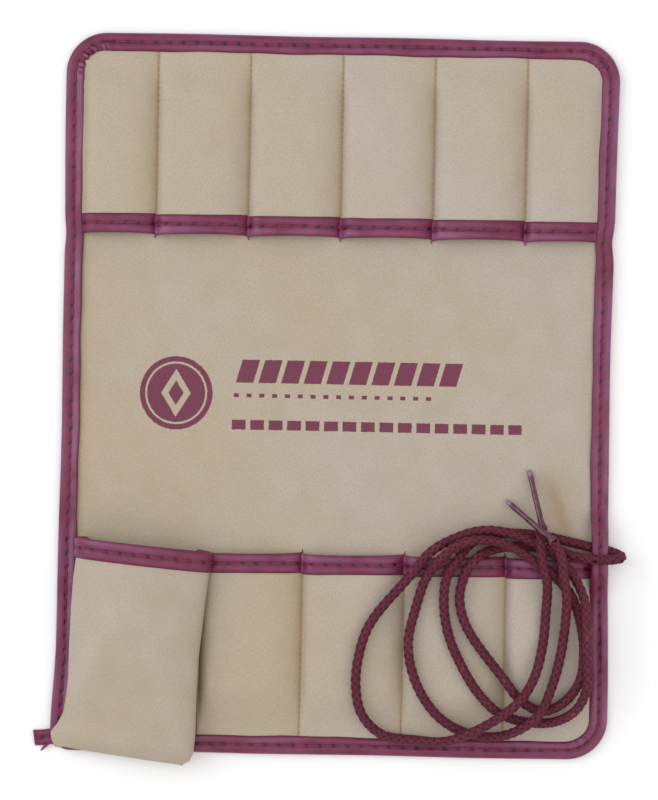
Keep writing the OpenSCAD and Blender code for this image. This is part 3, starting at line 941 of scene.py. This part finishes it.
def back_panel():
    """The roll's printed back cloth, in three pieces, one for each side of the roll."""
    replaced = {
        "right": ["panel_base"], "middle": ["panel_inner", "panel_middle"], "left": ["panel_handle"]
    }
    rows = 150
    for side in SIDES:
        left, right = span(side)
        xs = columns(left, right, [], 2.0)
        reach = edge_y(xs, TAPE_T)
        reach_low = edge_y(xs, TAPE_T, TAIL_CORNER_R)
        t = np.linspace(0, 1, rows)
        ys = -reach_low[:, None] + (reach + reach_low)[:, None] * t[None, :]
        x = np.repeat(xs[:, None], rows, axis=1)
        free = smooth((MOUTH_Y - 2 - np.abs(ys)) / 14) * smooth((WINDOW_X - np.abs(x)) / 16)
        top = CLOTH_Z + 0.42 * free * ripple(x * 0.7, ys * 0.6, 2) - 0.12 * free
        tone_and_painted_light = 0.10 + 0.07 * ripple(x, ys, 4)
        # Painted shade, yellowed, on the cloth beside the aglets and under the lace
        tone_and_painted_light = tone_and_painted_light + 0.26 * soft_patch(x, ys, (88, -40), (7, 17))
        tone_and_painted_light = tone_and_painted_light + 0.16 * soft_patch(x, ys, (70, -54), (22, 7))
        # A slanting streak of painted shadow below the aglets: the lace's shadow, yellow on the cloth
        streak = smooth((ys + 62) / 14) * smooth((-24 - ys) / 14)
        tone_and_painted_light = tone_and_painted_light + 0.45 * streak * np.exp(-(((x - 83 + 0.40 * (ys + 29)) / 2.6) ** 2))
        # Painted shade beside the edge binding, deeper beside the left binding, whose shadow falls on the
        # cloth
        tone_and_painted_light = tone_and_painted_light + 0.12 * np.exp(-np.abs(WINDOW_X - np.abs(x)) / 3)
        tone_and_painted_light = tone_and_painted_light + 0.35 * np.exp(-np.abs(x + WINDOW_X) / 1.3)
        tone_and_painted_light = np.clip(tone_and_painted_light, 0, 1)
        piece = slab(
            "back_panel_" + side, xs, ys, top, CLOTH_Z - PANEL_Z, "panel", tone_and_painted_light,
            np.zeros_like(tone_and_painted_light),
        )
        bend(piece)
        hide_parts(*replaced[side])


# ---- Edge binding ----

# Section of the binding, as a U round the edge: distance in from the outer edge, height,
# how far it lifts with the arch, and how much painted highlight it takes
EDGE_SECTION = [
    (7.15, 0.40, 0, 0), (6.9, 0.10, 0, 0), (5.0, 0.02, 0, 0), (2.4, 0.02, 0, 0), (0.9, 0.10, 0, 0),
    (0.30, 0.50, 0, 0), (0.02, 1.15, 0, 0.2), (0.0, 1.90, 0.5, 0.5), (0.20, 2.60, 0.9, 0.9),
    (0.65, 3.10, 1, 1), (1.30, 3.40, 1, 0.8), (2.05, 3.50, 1, 0.35), (2.7, 3.44, 1, 0.1),
    (3.25, 3.28, 1, 0), (3.7, 3.12, 1, 0), (4.1, 3.22, 1, 0.2), (4.6, 3.38, 1, 0.9),
    (5.3, 3.46, 1, 1), (6.0, 3.42, 1, 0.9), (6.5, 3.28, 1, 0.4), (6.95, 3.05, 1, 0),
    (7.15, 2.84, 1, 0), (7.0, 2.66, 1, 0), (5.0, 2.63, 1, 0), (2.4, 2.63, 1, 0), (0.95, 2.63, 0.9, 0),
    (0.80, 2.3, 0.5, 0), (0.80, 1.2, 0, 0), (1.0, 0.78, 0, 0), (4.0, 0.77, 0, 0), (6.9, 0.77, 0, 0),
]
# How strongly the binding puckers at each corner, and how far from it
PUCKERS = [(0.35, 9.0), (0.3, 9.0), (0.0, 1.0), (1.0, 13.0)]
ARCH_Y = -59.0
ARCH_H = 4.2
ARCH_FLAT = 7.0
ARCH_RUN = 11.0


def arch_lift(point):
    """How far the right binding stands up where the lace runs through it."""
    if point[0] < WINDOW_X:
        return 0.0
    far = abs(point[1] - ARCH_Y)
    return ARCH_H * float(smooth((ARCH_FLAT + ARCH_RUN - far) / ARCH_RUN))


def edge_ring(run):
    """One ring of the binding's section, with its flat map and painted light."""
    point, out = outline_at(run)
    lift = arch_lift(point)
    hole = needle_dip(run)
    pucker = 0.0
    for k, (size, reach) in enumerate(PUCKERS):
        away = (run - corner_run(k) + PERIMETER / 2) % PERIMETER - PERIMETER / 2
        pucker += size * math.exp(-((away / reach) ** 2))
    lap = 2 * math.pi * run / PERIMETER
    wobble = 0.16 * math.sin(17 * lap) + 0.10 * math.sin(41 * lap + 1)
    ring, flat, painted_light_share = [], [], []
    for inward, height, lifts, painted_shine in EDGE_SECTION:
        inner = smooth((inward - 3.4) / 2.4)
        crease = pucker * inner * math.sin(236 * lap + 1.6 * math.sin(83 * lap))
        q = inward + wobble * inner - 0.32 * crease * inner
        q = q + 0.12 * math.sin(12 * lap + 2) * (1 - inner)
        z = height + lift * lifts
        if height > 2.5:
            z += 0.85 * crease * (height > 2.8)
            near_groove = math.exp(-((inward - GROOVE_Q) / 0.6) ** 2)
            z -= 0.30 * hole ** 3 * near_groove * (height > 2.8)
            z += 0.10 * math.sin(25 * lap + inward) * (height > 2.8)
        place = point - out * q
        ring.append((place[0] + float(waist(place[0], place[1])), place[1], z))
        flat.append((run, inward))
        # Painted highlight on the ridge that faces the light from the left: the outer ridge on the right
        # side, the inner ridge on the left; weaker at the puckers, with painted highlight and shade along
        # the pucker creases
        facing = 1 - inner if out[0] > 0 or inward < 0.5 else inner
        tone = 0.45 + 0.75 * abs(out[0]) * facing
        painted_light_share.append(painted_shine * tone * (1 - pucker * 0.8) + 1.3 * crease)
    return ring, flat, painted_light_share


def edge_strip(starts_ends):
    """Rings of the binding over one or more stretches of the outline."""
    strips = []
    for start, end in starts_ends:
        count = math.ceil((end - start) / 0.7)
        strips.append([edge_ring(run) for run in np.linspace(start, end, count + 1)])
    return strips


def joined_strips(name, strips, material, caps=False, sharp=75.0):
    """One tape from several swept stretches, each a list of rings with flat maps and painted light."""
    points, flats, painted_light_share, faces = [], [], [], []
    for strip in strips:
        faces.extend(ring_faces(len(strip), len(strip[0][0]), len(points), caps=caps))
        for ring, flat, painted_shine in strip:
            points.extend(ring)
            flats.extend(flat)
            painted_light_share.extend(painted_shine)
    return build(name, points, faces, flats, material, {"painted_light": painted_light_share}, sharp)


EDGE_RUNS = {
    "right": [(top_run(CUTS[0]), bottom_run(CUTS[0]))],
    "middle": [
        (top_run(CUTS[1]), top_run(CUTS[0])), (bottom_run(CUTS[0]), bottom_run(CUTS[1]))
    ],
    "left": [(bottom_run(CUTS[1]), PERIMETER), (0.0, top_run(CUTS[1]))],
}
EDGE_NODES = {
    "right": ["edge_binding_base", "edge_binding_inner_top", "edge_binding_inner_bottom"],
    "middle": ["edge_binding_middle_top", "edge_binding_middle_bottom"],
    "left": ["edge_binding_handle"],
}


def edge_binding():
    for side in SIDES:
        piece = joined_strips("edge_tape_" + side, edge_strip(EDGE_RUNS[side]), "edge")
        bend(piece)
        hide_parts(*EDGE_NODES[side])


# ---- Mouth tapes of the blade pockets ----

# Section of the tape over the cloth's edge: distance from the mouth, lift above the cloth, painted
# highlight
BAND_SECTION = [
    (8.0, 0.04, 0), (7.9, 0.40, 0), (7.5, 0.70, 0.2), (6.8, 0.86, 0.5), (6.0, 0.90, 0.4),
    (5.2, 0.84, 0.2), (4.6, 0.72, 0), (4.0, 0.56, 0), (3.4, 0.74, 0.2), (2.7, 0.90, 0.8),
    (1.9, 0.98, 1), (1.1, 0.92, 1), (0.45, 0.66, 0.6), (0.05, 0.20, 0.1), (0.0, -0.3, 0),
    (0.12, -0.95, 0), (0.6, -1.32, 0), (3.0, -1.40, 0), (7.8, -1.40, 0), (7.9, -1.05, 0),
    (7.7, -0.70, 0), (3.0, -0.66, 0), (0.9, -0.60, 0), (0.85, 0.0, 0), (3.0, 0.03, 0),
]
BAND_GROOVE = 7


def band_ring(x, row, seams, seed):
    """One ring of a mouth tape, which sags between the seams and pinches at each."""
    sign = 1 if row == "upper" else -1
    left, right, _ = seam_span(np.array([x]), seams)
    left, right = float(left[0]), float(right[0])
    width = left + right
    pinch = math.exp(-min(left, right) / 0.7)
    skew = (left / width - 0.5) * 1.1 if 0 < left < width else 0.0
    bow = 0.55 * math.sin(math.pi * left / width)
    hole = needle_dip(x + HALF_W)
    surface = float(pocket_height(np.array([x]), np.array([MOUTH_Y + 3]), seams, seed)[0])
    ring, flat, painted_light_share = [], [], []
    for t, lift, painted_shine in BAND_SECTION:
        near_groove = math.exp(-((t - BAND_W / 2) / 0.6) ** 2)
        if lift > 0.2:
            lift = lift - 0.26 * hole ** 3 * near_groove + 0.07 * math.sin(x / 4.3 + t)
            lift = lift * (1 - 0.25 * pinch)
        mouth = smooth(1 - t / BAND_W)
        y = MOUTH_Y + t - 0.35 * pinch * float(mouth) + bow * float(mouth) * 0.9 - 0.25 * bow
        y = y + sign * skew * 0.45
        z = max(surface + lift, CLOTH_Z + 0.05 + 0.004 * t)
        ring.append((x + float(waist(x, sign * y)), sign * y, z))
        flat.append((x + HALF_W, t))
        # Painted shade just left of each seam, and a painted highlight strongest just right of each seam
        shade = -0.9 * math.exp(-right / 1.3) if lift > 0 else 0.0
        painted_light_share.append(painted_shine * (0.45 + 0.8 * math.exp(-left / 9.0)) + shade)
    return (ring, flat, painted_light_share) if sign > 0 else (ring[::-1], flat[::-1], painted_light_share[::-1])


def mouth_tape(row, seams, low, seed):
    for side in SIDES:
        left, right = span(side)
        left = max(left, low, -WINDOW_X - 0.5)
        xs = columns(left, min(right, WINDOW_X + 0.4), seams, 1.1)
        strip = [band_ring(float(x), row, seams, seed) for x in xs]
        piece = joined_strips(f"{row}_mouth_tape_{side}", [strip], "band")
        bend(piece)
        nodes = {"right": ["inner", "base"], "middle": ["middle"], "left": ["handle"]}[side]
        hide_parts(*[f"{row}_mouth_binding_{leaf}" for leaf in nodes])


# ---- Stitches ----

# A stitch lies in a shallow arc: share of its length, lift above the groove, radius
STITCH_ARC = [
    (-0.5, -0.45, 0.20), (-0.40, -0.08, 0.30), (-0.22, 0.16, 0.34), (0.0, 0.22, 0.35),
    (0.22, 0.16, 0.34), (0.40, -0.08, 0.30), (0.5, -0.45, 0.20),
]
STITCH_SIDES = 6


def stitch(centre, ahead, length, thickness):
    """Points of one stitch about its centre on the cloth, with its flat map."""
    ahead = np.asarray(ahead, float) / np.linalg.norm(ahead)
    side = np.cross([0, 0, 1.0], ahead)
    side /= np.linalg.norm(side)
    up = np.cross(ahead, side)
    rings, flat = [], []
    for share, lift, radius in STITCH_ARC:
        middle = np.asarray(centre) + ahead * share * length + up * lift * thickness
        for k in range(STITCH_SIDES):
            angle = 2 * math.pi * k / STITCH_SIDES
            around = math.cos(angle) * side + math.sin(angle) * up
            rings.append(middle + radius * thickness * around)
            flat.append((share * length, k / STITCH_SIDES / MM))
    return rings, flat


def stitches(name, places, length, material, thickness=0.8):
    """One mesh of separate stitches at the given places, each a point and a direction."""
    points, flats, faces = [], [], []
    for centre, ahead in places:
        start = len(points)
        rings, flat = stitch(centre, ahead, length, thickness)
        points.extend(rings)
        flats.extend(flat)
        faces.extend(ring_faces(len(STITCH_ARC), STITCH_SIDES, start, flip=True))
    return build(name, points, faces, flats, material)


def edge_stitches():
    """Stitches along the edge binding's groove."""
    for side in SIDES:
        places = []
        for start, end in EDGE_RUNS[side]:
            first = math.ceil(start / STITCH_PITCH)
            for k in range(first, math.floor(end / STITCH_PITCH) + 1):
                run = k * STITCH_PITCH
                if min(run - start, end - run) < 1.6 and run % PERIMETER > 1e-6:
                    continue
                point, out = outline_at(run)
                place = point - out * GROOVE_Q
                x = place[0] + float(waist(place[0], place[1]))
                z = 3.10 + arch_lift(point)
                slope = arch_lift(outline_at(run + 1)[0]) - arch_lift(outline_at(run - 1)[0])
                places.append(((x, place[1], z), (out[1], -out[0], slope / 2)))
        piece = stitches("edge_stitches_" + side, places, STITCH_PITCH * STITCH_SHARE, "thread")
        bend(piece)


def band_stitches(row, seams, low, seed):
    """Stitches along the groove of a row's mouth tape."""
    index = BAND_GROOVE if row == "upper" else -1 - BAND_GROOVE
    for side in SIDES:
        left, right = span(side)
        left, right = max(left, low, -WINDOW_X), min(right, WINDOW_X)
        places = []
        first = math.ceil((left + HALF_W) / STITCH_PITCH)
        for k in range(first, math.floor((right + HALF_W) / STITCH_PITCH) + 1):
            x = k * STITCH_PITCH - HALF_W
            if x - left < 1.8 or right - x < 1.8:
                continue
            groove, after = [
                np.array(band_ring(place, row, seams, seed)[0][index]) for place in (x, x + 0.8)
            ]
            places.append((groove + [0, 0, 0.05], after - groove))
        piece = stitches(f"{row}_mouth_stitches_{side}", places, STITCH_PITCH * STITCH_SHARE, "thread")
        bend(piece)


def seam_stitches(row, seams, seed):
    """Fine stitches down each pocket seam, in the cloth's own colour."""
    sign = 1 if row == "upper" else -1
    pitch = 2.5
    inner = [s for s in seams if abs(s) < WINDOW_X]
    for side in SIDES:
        left, right = span(side)
        places = []
        for seam in inner:
            if not left < seam <= right:
                continue
            y = MOUTH_Y + BAND_W + 1.5
            while y < WINDOW_Y - 1:
                height = float(pocket_height(np.array([seam]), np.array([y]), seams, seed)[0])
                x = seam + float(waist(seam, sign * y))
                places.append(((x, sign * y, height + 0.02), (0, 1, 0)))
                y += pitch
        if places:
            piece = stitches(f"{row}_seam_stitches_{side}", places, pitch, "seam", 0.42)
            bend(piece)


# ---- Handle pocket ----

# Where the pocket's silhouette runs, as distance down the roll and place across it
POCKET_LEFT = [
    (-56.4, -99.8), (-64.5, -99.9), (-72.0, -100.8), (-84.0, -101.4), (-98.0, -101.9),
    (-110.0, -102.1), (-117.0, -102.7), (-125.0, -104.0), (-129.4, -106.2), (-132.6, -108.7),
    (-135.5, -108.4), (-138.0, -107.1),
]
POCKET_RIGHT = [
    (-61.2, -47.8), (-69.9, -48.0), (-82.0, -49.4), (-102.0, -51.4), (-119.0, -52.0),
    (-133.0, -52.2), (-139.0, -52.8), (-142.4, -54.2), (-144.3, -57.2),
]
# The section between them: share of the width, share of the crown's height
POCKET_SECTION = [
    (0.062, 0.0), (0.030, 0.10), (0.004, 0.25), (0.0, 0.42), (0.012, 0.58), (0.05, 0.73), (0.11, 0.85),
    (0.20, 0.93), (0.32, 0.975), (0.45, 1.0), (0.58, 0.99), (0.70, 0.95), (0.80, 0.89), (0.89, 0.80),
    (0.955, 0.70), (0.993, 0.58), (1.0, 0.48), (0.985, 0.36), (0.950, 0.22), (0.920, 0.10), (0.914, 0.0),
]
POCKET_CROWN = node_box("handle_pocket")[1][2]
FOLD_X = -92.0
FOLD_Y = -100.0


def section_curve(count):
    """The pocket's section, smoothed and spread evenly."""
    wide, tall = 54, 16.6
    scaled = [(a * wide, b * tall, 0) for a, b in POCKET_SECTION]
    line, _ = curve_through(scaled, 0.5)
    run = np.linspace(0, len(line) - 1, count)
    share = np.stack([np.interp(run, np.arange(len(line)), line[:, k]) for k in (0, 1)], axis=1)
    return share / [wide, tall]


def pocket_line(table, v):
    """A point of the pocket's silhouette at a share v of the way from its mouth to its end."""
    y = table[0][0] + v * (table[-1][0] - table[0][0])
    ys = [-row[0] for row in table]
    return np.interp(-y, ys, [row[1] for row in table]), y


SECTION = section_curve(64)


def pocket_point(v, a, b, under=0.0):
    """Point of the handle pocket: v along it, a across, b up its section, under for its curled end."""
    left_x, left_y = pocket_line(POCKET_LEFT, v)
    right_x, right_y = pocket_line(POCKET_RIGHT, v)
    near_end = np.clip((v - 0.80) / 0.20, 0, 1)
    height = 0.42 + 0.58 * np.sqrt(np.maximum(1 - near_end ** 2.2, 0))
    slack = 1 - 0.70 * smooth((v - 0.45) / 0.55) * max(1 - a, 0.0) ** 1.35
    height = height * slack * (1 - 0.86 * smooth(under))
    base = CLOTH_Z + 1.75 * smooth((v - 0.88) / 0.06)
    crown = POCKET_CROWN - CLOTH_T - base
    x = left_x + (right_x - left_x) * a
    y = left_y + (right_y - left_y) * a
    x = x + 0.03 * (left_x + right_x - 2 * x) * under
    y = y + 6.0 * math.sin(under * math.pi / 2)
    z = base + crown * height * b
    dent = 0.5 * ripple(x * 0.8, y * 0.7, 7) + 0.25 * ripple(x * 2, y * 1.5, 9)
    z = z + (1.0 * pocket_fold(x, y) + 0.55 * dent) * b * (1 - under) * smooth(v / 0.1)
    return np.array([x, y, z])


def pocket_fold(x, y):
    """The soft slanting fold on the handle pocket, from 0 to 1."""
    place = FOLD_X + 0.36 * (y - FOLD_Y)
    return math.exp(-((x - place) / 6.5) ** 2) * math.exp(-((y - FOLD_Y) / 27) ** 2)


def pocket_rows():
    """Shares along the pocket, and how far each row has curled under at its end."""
    rows = [(v, 0.0) for v in np.linspace(0.012, 0.78, 44)]
    rows += [(0.78 + 0.22 * math.sin(t * math.pi / 2), 0.0) for t in np.linspace(0, 1, 18)[1:]]
    rows += [(1.0, under) for under in np.linspace(0, 1, 9)[1:]]
    return rows


def handle_pocket():
    """The puffed pocket for the handle, of real thickness, with its closed end curled under."""
    rows = pocket_rows()
    points, flats, tone_and_painted_light = [], [], []
    for v, under in rows:
        run = 0.0
        before = None
        for a, b in SECTION:
            point = pocket_point(v, a, b, under)
            run += 0 if before is None else np.linalg.norm((point - before)[[0, 2]])
            before = point
            points.append(point)
            flats.append((run + 30, -80 * v - 8 * under - 60))
            # Painted shade on the pocket's lower right flank, away from the light, and a painted highlight
            # along its fold, over a random tone
            flank = smooth((0.75 - b) / 0.6) * (a > 0.5)
            tone = 0.22 + 0.10 * ripple(point[0], point[1], 6) - 0.20 * pocket_fold(*point[:2])
            tone_and_painted_light.append(tone + 0.85 * float(flank))
    points = np.array(points)
    size = len(SECTION)
    faces = grid_faces(len(rows), size)
    piece = build(
        "handle_pocket_cloth", points, faces, flats, "cloth",
        {"tone_and_painted_light": tone_and_painted_light, "crease": [0.0] * len(points)}, 180.0,
    )
    thicken(piece, CLOTH_T * MM)
    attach(piece, "handle_leaf")
    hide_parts("handle_pocket")
    return piece


def thicken(piece, thickness):
    """Gives a single skin real thickness on its inner side."""
    solid = piece.modifiers.new("thickness", "SOLIDIFY")
    solid.thickness = thickness
    solid.offset = -1
    bpy.context.view_layer.update()
    made = bpy.data.meshes.new_from_object(
        piece.evaluated_get(bpy.context.evaluated_depsgraph_get())
    )
    piece.modifiers.clear()
    old = piece.data
    piece.data = made
    bpy.data.meshes.remove(old)


def handle_mouth():
    """Tape folded over the handle pocket's mouth, and its stitches."""
    length = 81.5
    mouth_at = 0.03
    stitch_lift = 0.6
    strip, places = [], []
    run = 0.0
    beat = 0
    before = None
    steps = 150
    line = section_curve(steps)
    for i, (a, b) in enumerate(line):
        here = pocket_point(mouth_at, a, b)
        run += 0 if before is None else float(np.linalg.norm(here - before))
        before = here
        a0, b0 = line[max(i - 1, 0)]
        a1, b1 = line[min(i + 1, steps - 1)]
        along = pocket_point(mouth_at, a1, b1) - pocket_point(mouth_at, a0, b0)
        along /= np.linalg.norm(along)
        down = pocket_point(0.10, a, b) - pocket_point(0.0, a, b)
        down /= np.linalg.norm(down)
        out = np.cross(down, along)
        out /= np.linalg.norm(out)
        ring, flat, painted_light_share = [], [], []
        hole = needle_dip(run)
        for t, lift, painted_shine in BAND_SECTION:
            near_groove = math.exp(-((t - BAND_W / 2) / 0.6) ** 2)
            if lift > 0.2:
                lift = lift - 0.26 * hole ** 3 * near_groove
            place = pocket_point(t / length, a, b) + out * lift
            place[2] = max(place[2], CLOTH_Z + 0.05)
            ring.append(place)
            flat.append((run, t))
            # Painted highlight, waxing and waning along the tape
            painted_light_share.append(painted_shine * (0.55 + 0.45 * math.sin(run / 11.0)))
        strip.append((ring[::-1], flat[::-1], painted_light_share[::-1]))
        if int(run / STITCH_PITCH) > beat:
            beat = int(run / STITCH_PITCH)
            if b < 0.3:  # close to the panel, where the needle cannot reach
                continue
            centre = pocket_point(BAND_W / 2 / length, a, b) + out * stitch_lift
            places.append((centre, along))
    piece = joined_strips("handle_mouth_tape", [strip], "band")
    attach(piece, "handle_leaf")
    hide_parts("handle_mouth_binding")
    sewn = stitches("handle_mouth_stitches", places, STITCH_PITCH * STITCH_SHARE, "thread")
    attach(sewn, "handle_leaf")


# ---- Loose ends ----

TAIL_SECTION = [
    (0.0, 0.35), (0.25, 1.0), (0.8, 1.5), (1.6, 1.72), (2.4, 1.60), (3.0, 1.25), (3.5, 1.12),
    (4.0, 1.28), (4.8, 1.62), (5.6, 1.66), (6.2, 1.35), (6.6, 0.9), (6.7, 0.4), (6.4, 0.06),
    (3.4, 0.02), (0.4, 0.06),
]


def tape_tail():
    """The binding's loose end, past the lower left corner, with its cut edge; its thread ends are made
    among the loose threads.
    """
    strip = []
    ends = np.linspace(-93.0, -115.4, 34)
    for i, x in enumerate(ends):
        ring, flat, painted_light_share = [], [], []
        curl = smooth((-x - 108) / 7.4)
        for q, z in TAIL_SECTION:
            slant = -0.9 * (q / 6.7 - 0.4) * (x < -114.5)
            y = -138.3 + q * (0.94 - 0.02 * i / 34) + 0.15 * math.sin(x / 2.2) - 0.35 * float(curl)
            ring.append((x + slant, y, z + 0.10 * math.sin(x * 1.1 + q) * (z > 0.5)))
            flat.append((x + 400, q + 0.3))
            # Painted highlight on the tail's top
            painted_light_share.append(0.5 if z > 1.4 else 0.0)
        strip.append((ring, flat, painted_light_share))
    piece = joined_strips("tape_tail", [strip], "edge", caps=True, sharp=60.0)
    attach(piece, "handle_leaf")


def thread_end(name, points, radius):
    """A loose end of thread along a short curve."""
    line, run = curve_through(points, 0.35)
    _, side, up = frames_along(line)
    rings, flats = [], []
    angles = [2 * math.pi * k / STITCH_SIDES for k in range(STITCH_SIDES)]
    for i, middle in enumerate(line):
        thin = radius * (1 - 0.5 * i / len(line))
        rings.append([middle + thin * (math.cos(t) * side[i] + math.sin(t) * up[i]) for t in angles])
        flats.append([(run[i], k / STITCH_SIDES / MM) for k in range(STITCH_SIDES)])
    return sweep(name, rings, flats, "thread")


def loose_threads():
    """Short thread ends at the tape's tail and under the mouth tapes at the seams."""
    tufts = [
        [(-109.8, -137.8, 1.4), (-110.9, -138.9, 1.3), (-112.0, -139.9, 0.9), (-112.9, -140.7, 0.6)],
        [(-110.2, -137.9, 1.0), (-111.6, -139.1, 0.8), (-112.5, -140.0, 0.5)],
    ]
    for k, points in enumerate(tufts):
        piece = thread_end(f"tail_thread_{k + 1}", points, 0.42)
        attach(piece, "handle_leaf")
    for row, seams, sign in (("upper", UPPER_SEAMS, 1), ("lower", LOWER_SEAMS[1:], -1)):
        for k, seam in enumerate(s for s in seams if abs(s) < WINDOW_X):
            near = MOUTH_Y - 0.2
            z = CLOTH_Z + 0.45
            lean = 0.6 * math.sin(seam)
            points = [
                (seam, sign * (near + 1.5), z + 0.5), (seam + 0.2 * lean, sign * near, z + 0.35),
                (seam + lean, sign * (near - 1.3), z),
            ]
            piece = thread_end(f"{row}_seam_end_{k + 1}", points, 0.32)
            bend(piece)


# ---- Setting ----


def floor_material():
    material, tree, shader = new_material("floor", Roughness=0.9, Specular_IOR_Level=0.15)
    coordinates = add(tree, "ShaderNodeTexCoord").outputs["Object"]
    tone = noise(tree, coordinates, 4.0)
    colour = mix(tree, tone, (0.93, 0.93, 0.93, 1), (0.97, 0.97, 0.97, 1))
    tree.links.new(colour, shader.inputs["Base Color"])
    return material


def setting():
    """A pale floor, a cool soft light from the left, a warm one from the right."""
    mesh = bpy.data.meshes.new("floor")
    reach = 3.0
    drop = -0.0002
    corners = [(x * reach, y * reach, drop) for x, y in ((-1, -1), (1, -1), (1, 1), (-1, 1))]
    mesh.from_pydata(corners, [], [(0, 1, 2, 3)])
    mesh.materials.append(floor_material())
    floor = bpy.data.objects.new("floor", mesh)
    bpy.context.scene.collection.objects.link(floor)
    lights = [
        ("key", (-1.0, 0.35, 0.8), 1.2, 6.3, (0.94, 0.975, 1.0)),
        ("fill", (0.7, -0.3, 1.1), 1.2, 3.6, (1.0, 0.91, 0.76)),
        ("top", (-0.1, 0.1, 1.5), 1.2, 3.6, (1.0, 1.0, 1.0)),
    ]
    for name, place, size, power, colour in lights:
        data = bpy.data.lights.new(name, "AREA")
        data.shape = "DISK"
        data.size = size
        data.energy = power
        data.color = colour
        light = bpy.data.objects.new(name, data)
        light.location = place
        light.rotation_euler = (-Vector(place)).to_track_quat("-Z", "Y").to_euler()
        bpy.context.scene.collection.objects.link(light)
    world = bpy.data.worlds.new("surround")
    world.use_nodes = True
    background = world.node_tree.nodes["Background"]
    background.inputs["Color"].default_value = (0.96, 0.97, 1.0, 1)
    background.inputs["Strength"].default_value = 0.71
    bpy.context.scene.world = world
    bpy.context.scene.view_settings.view_transform = "Standard"


# ---- The roll ----

back_panel()
pocket_row("upper", UPPER_SEAMS, -INSIDE_X, 1, 0.5)
pocket_row("lower", LOWER_SEAMS, LOWER_LEFT, 2, 0.45)
edge_binding()
mouth_tape("upper", UPPER_SEAMS, -INSIDE_X, 1)
mouth_tape("lower", LOWER_SEAMS, LOWER_LEFT, 2)
edge_stitches()
band_stitches("upper", UPPER_SEAMS, -WINDOW_X, 1)
band_stitches("lower", LOWER_SEAMS, LOWER_LEFT, 2)
seam_stitches("upper", UPPER_SEAMS, 1)
seam_stitches("lower", LOWER_SEAMS, 2)
pocket = handle_pocket()
handle_mouth()
tape_tail()
loose_threads()
setting()
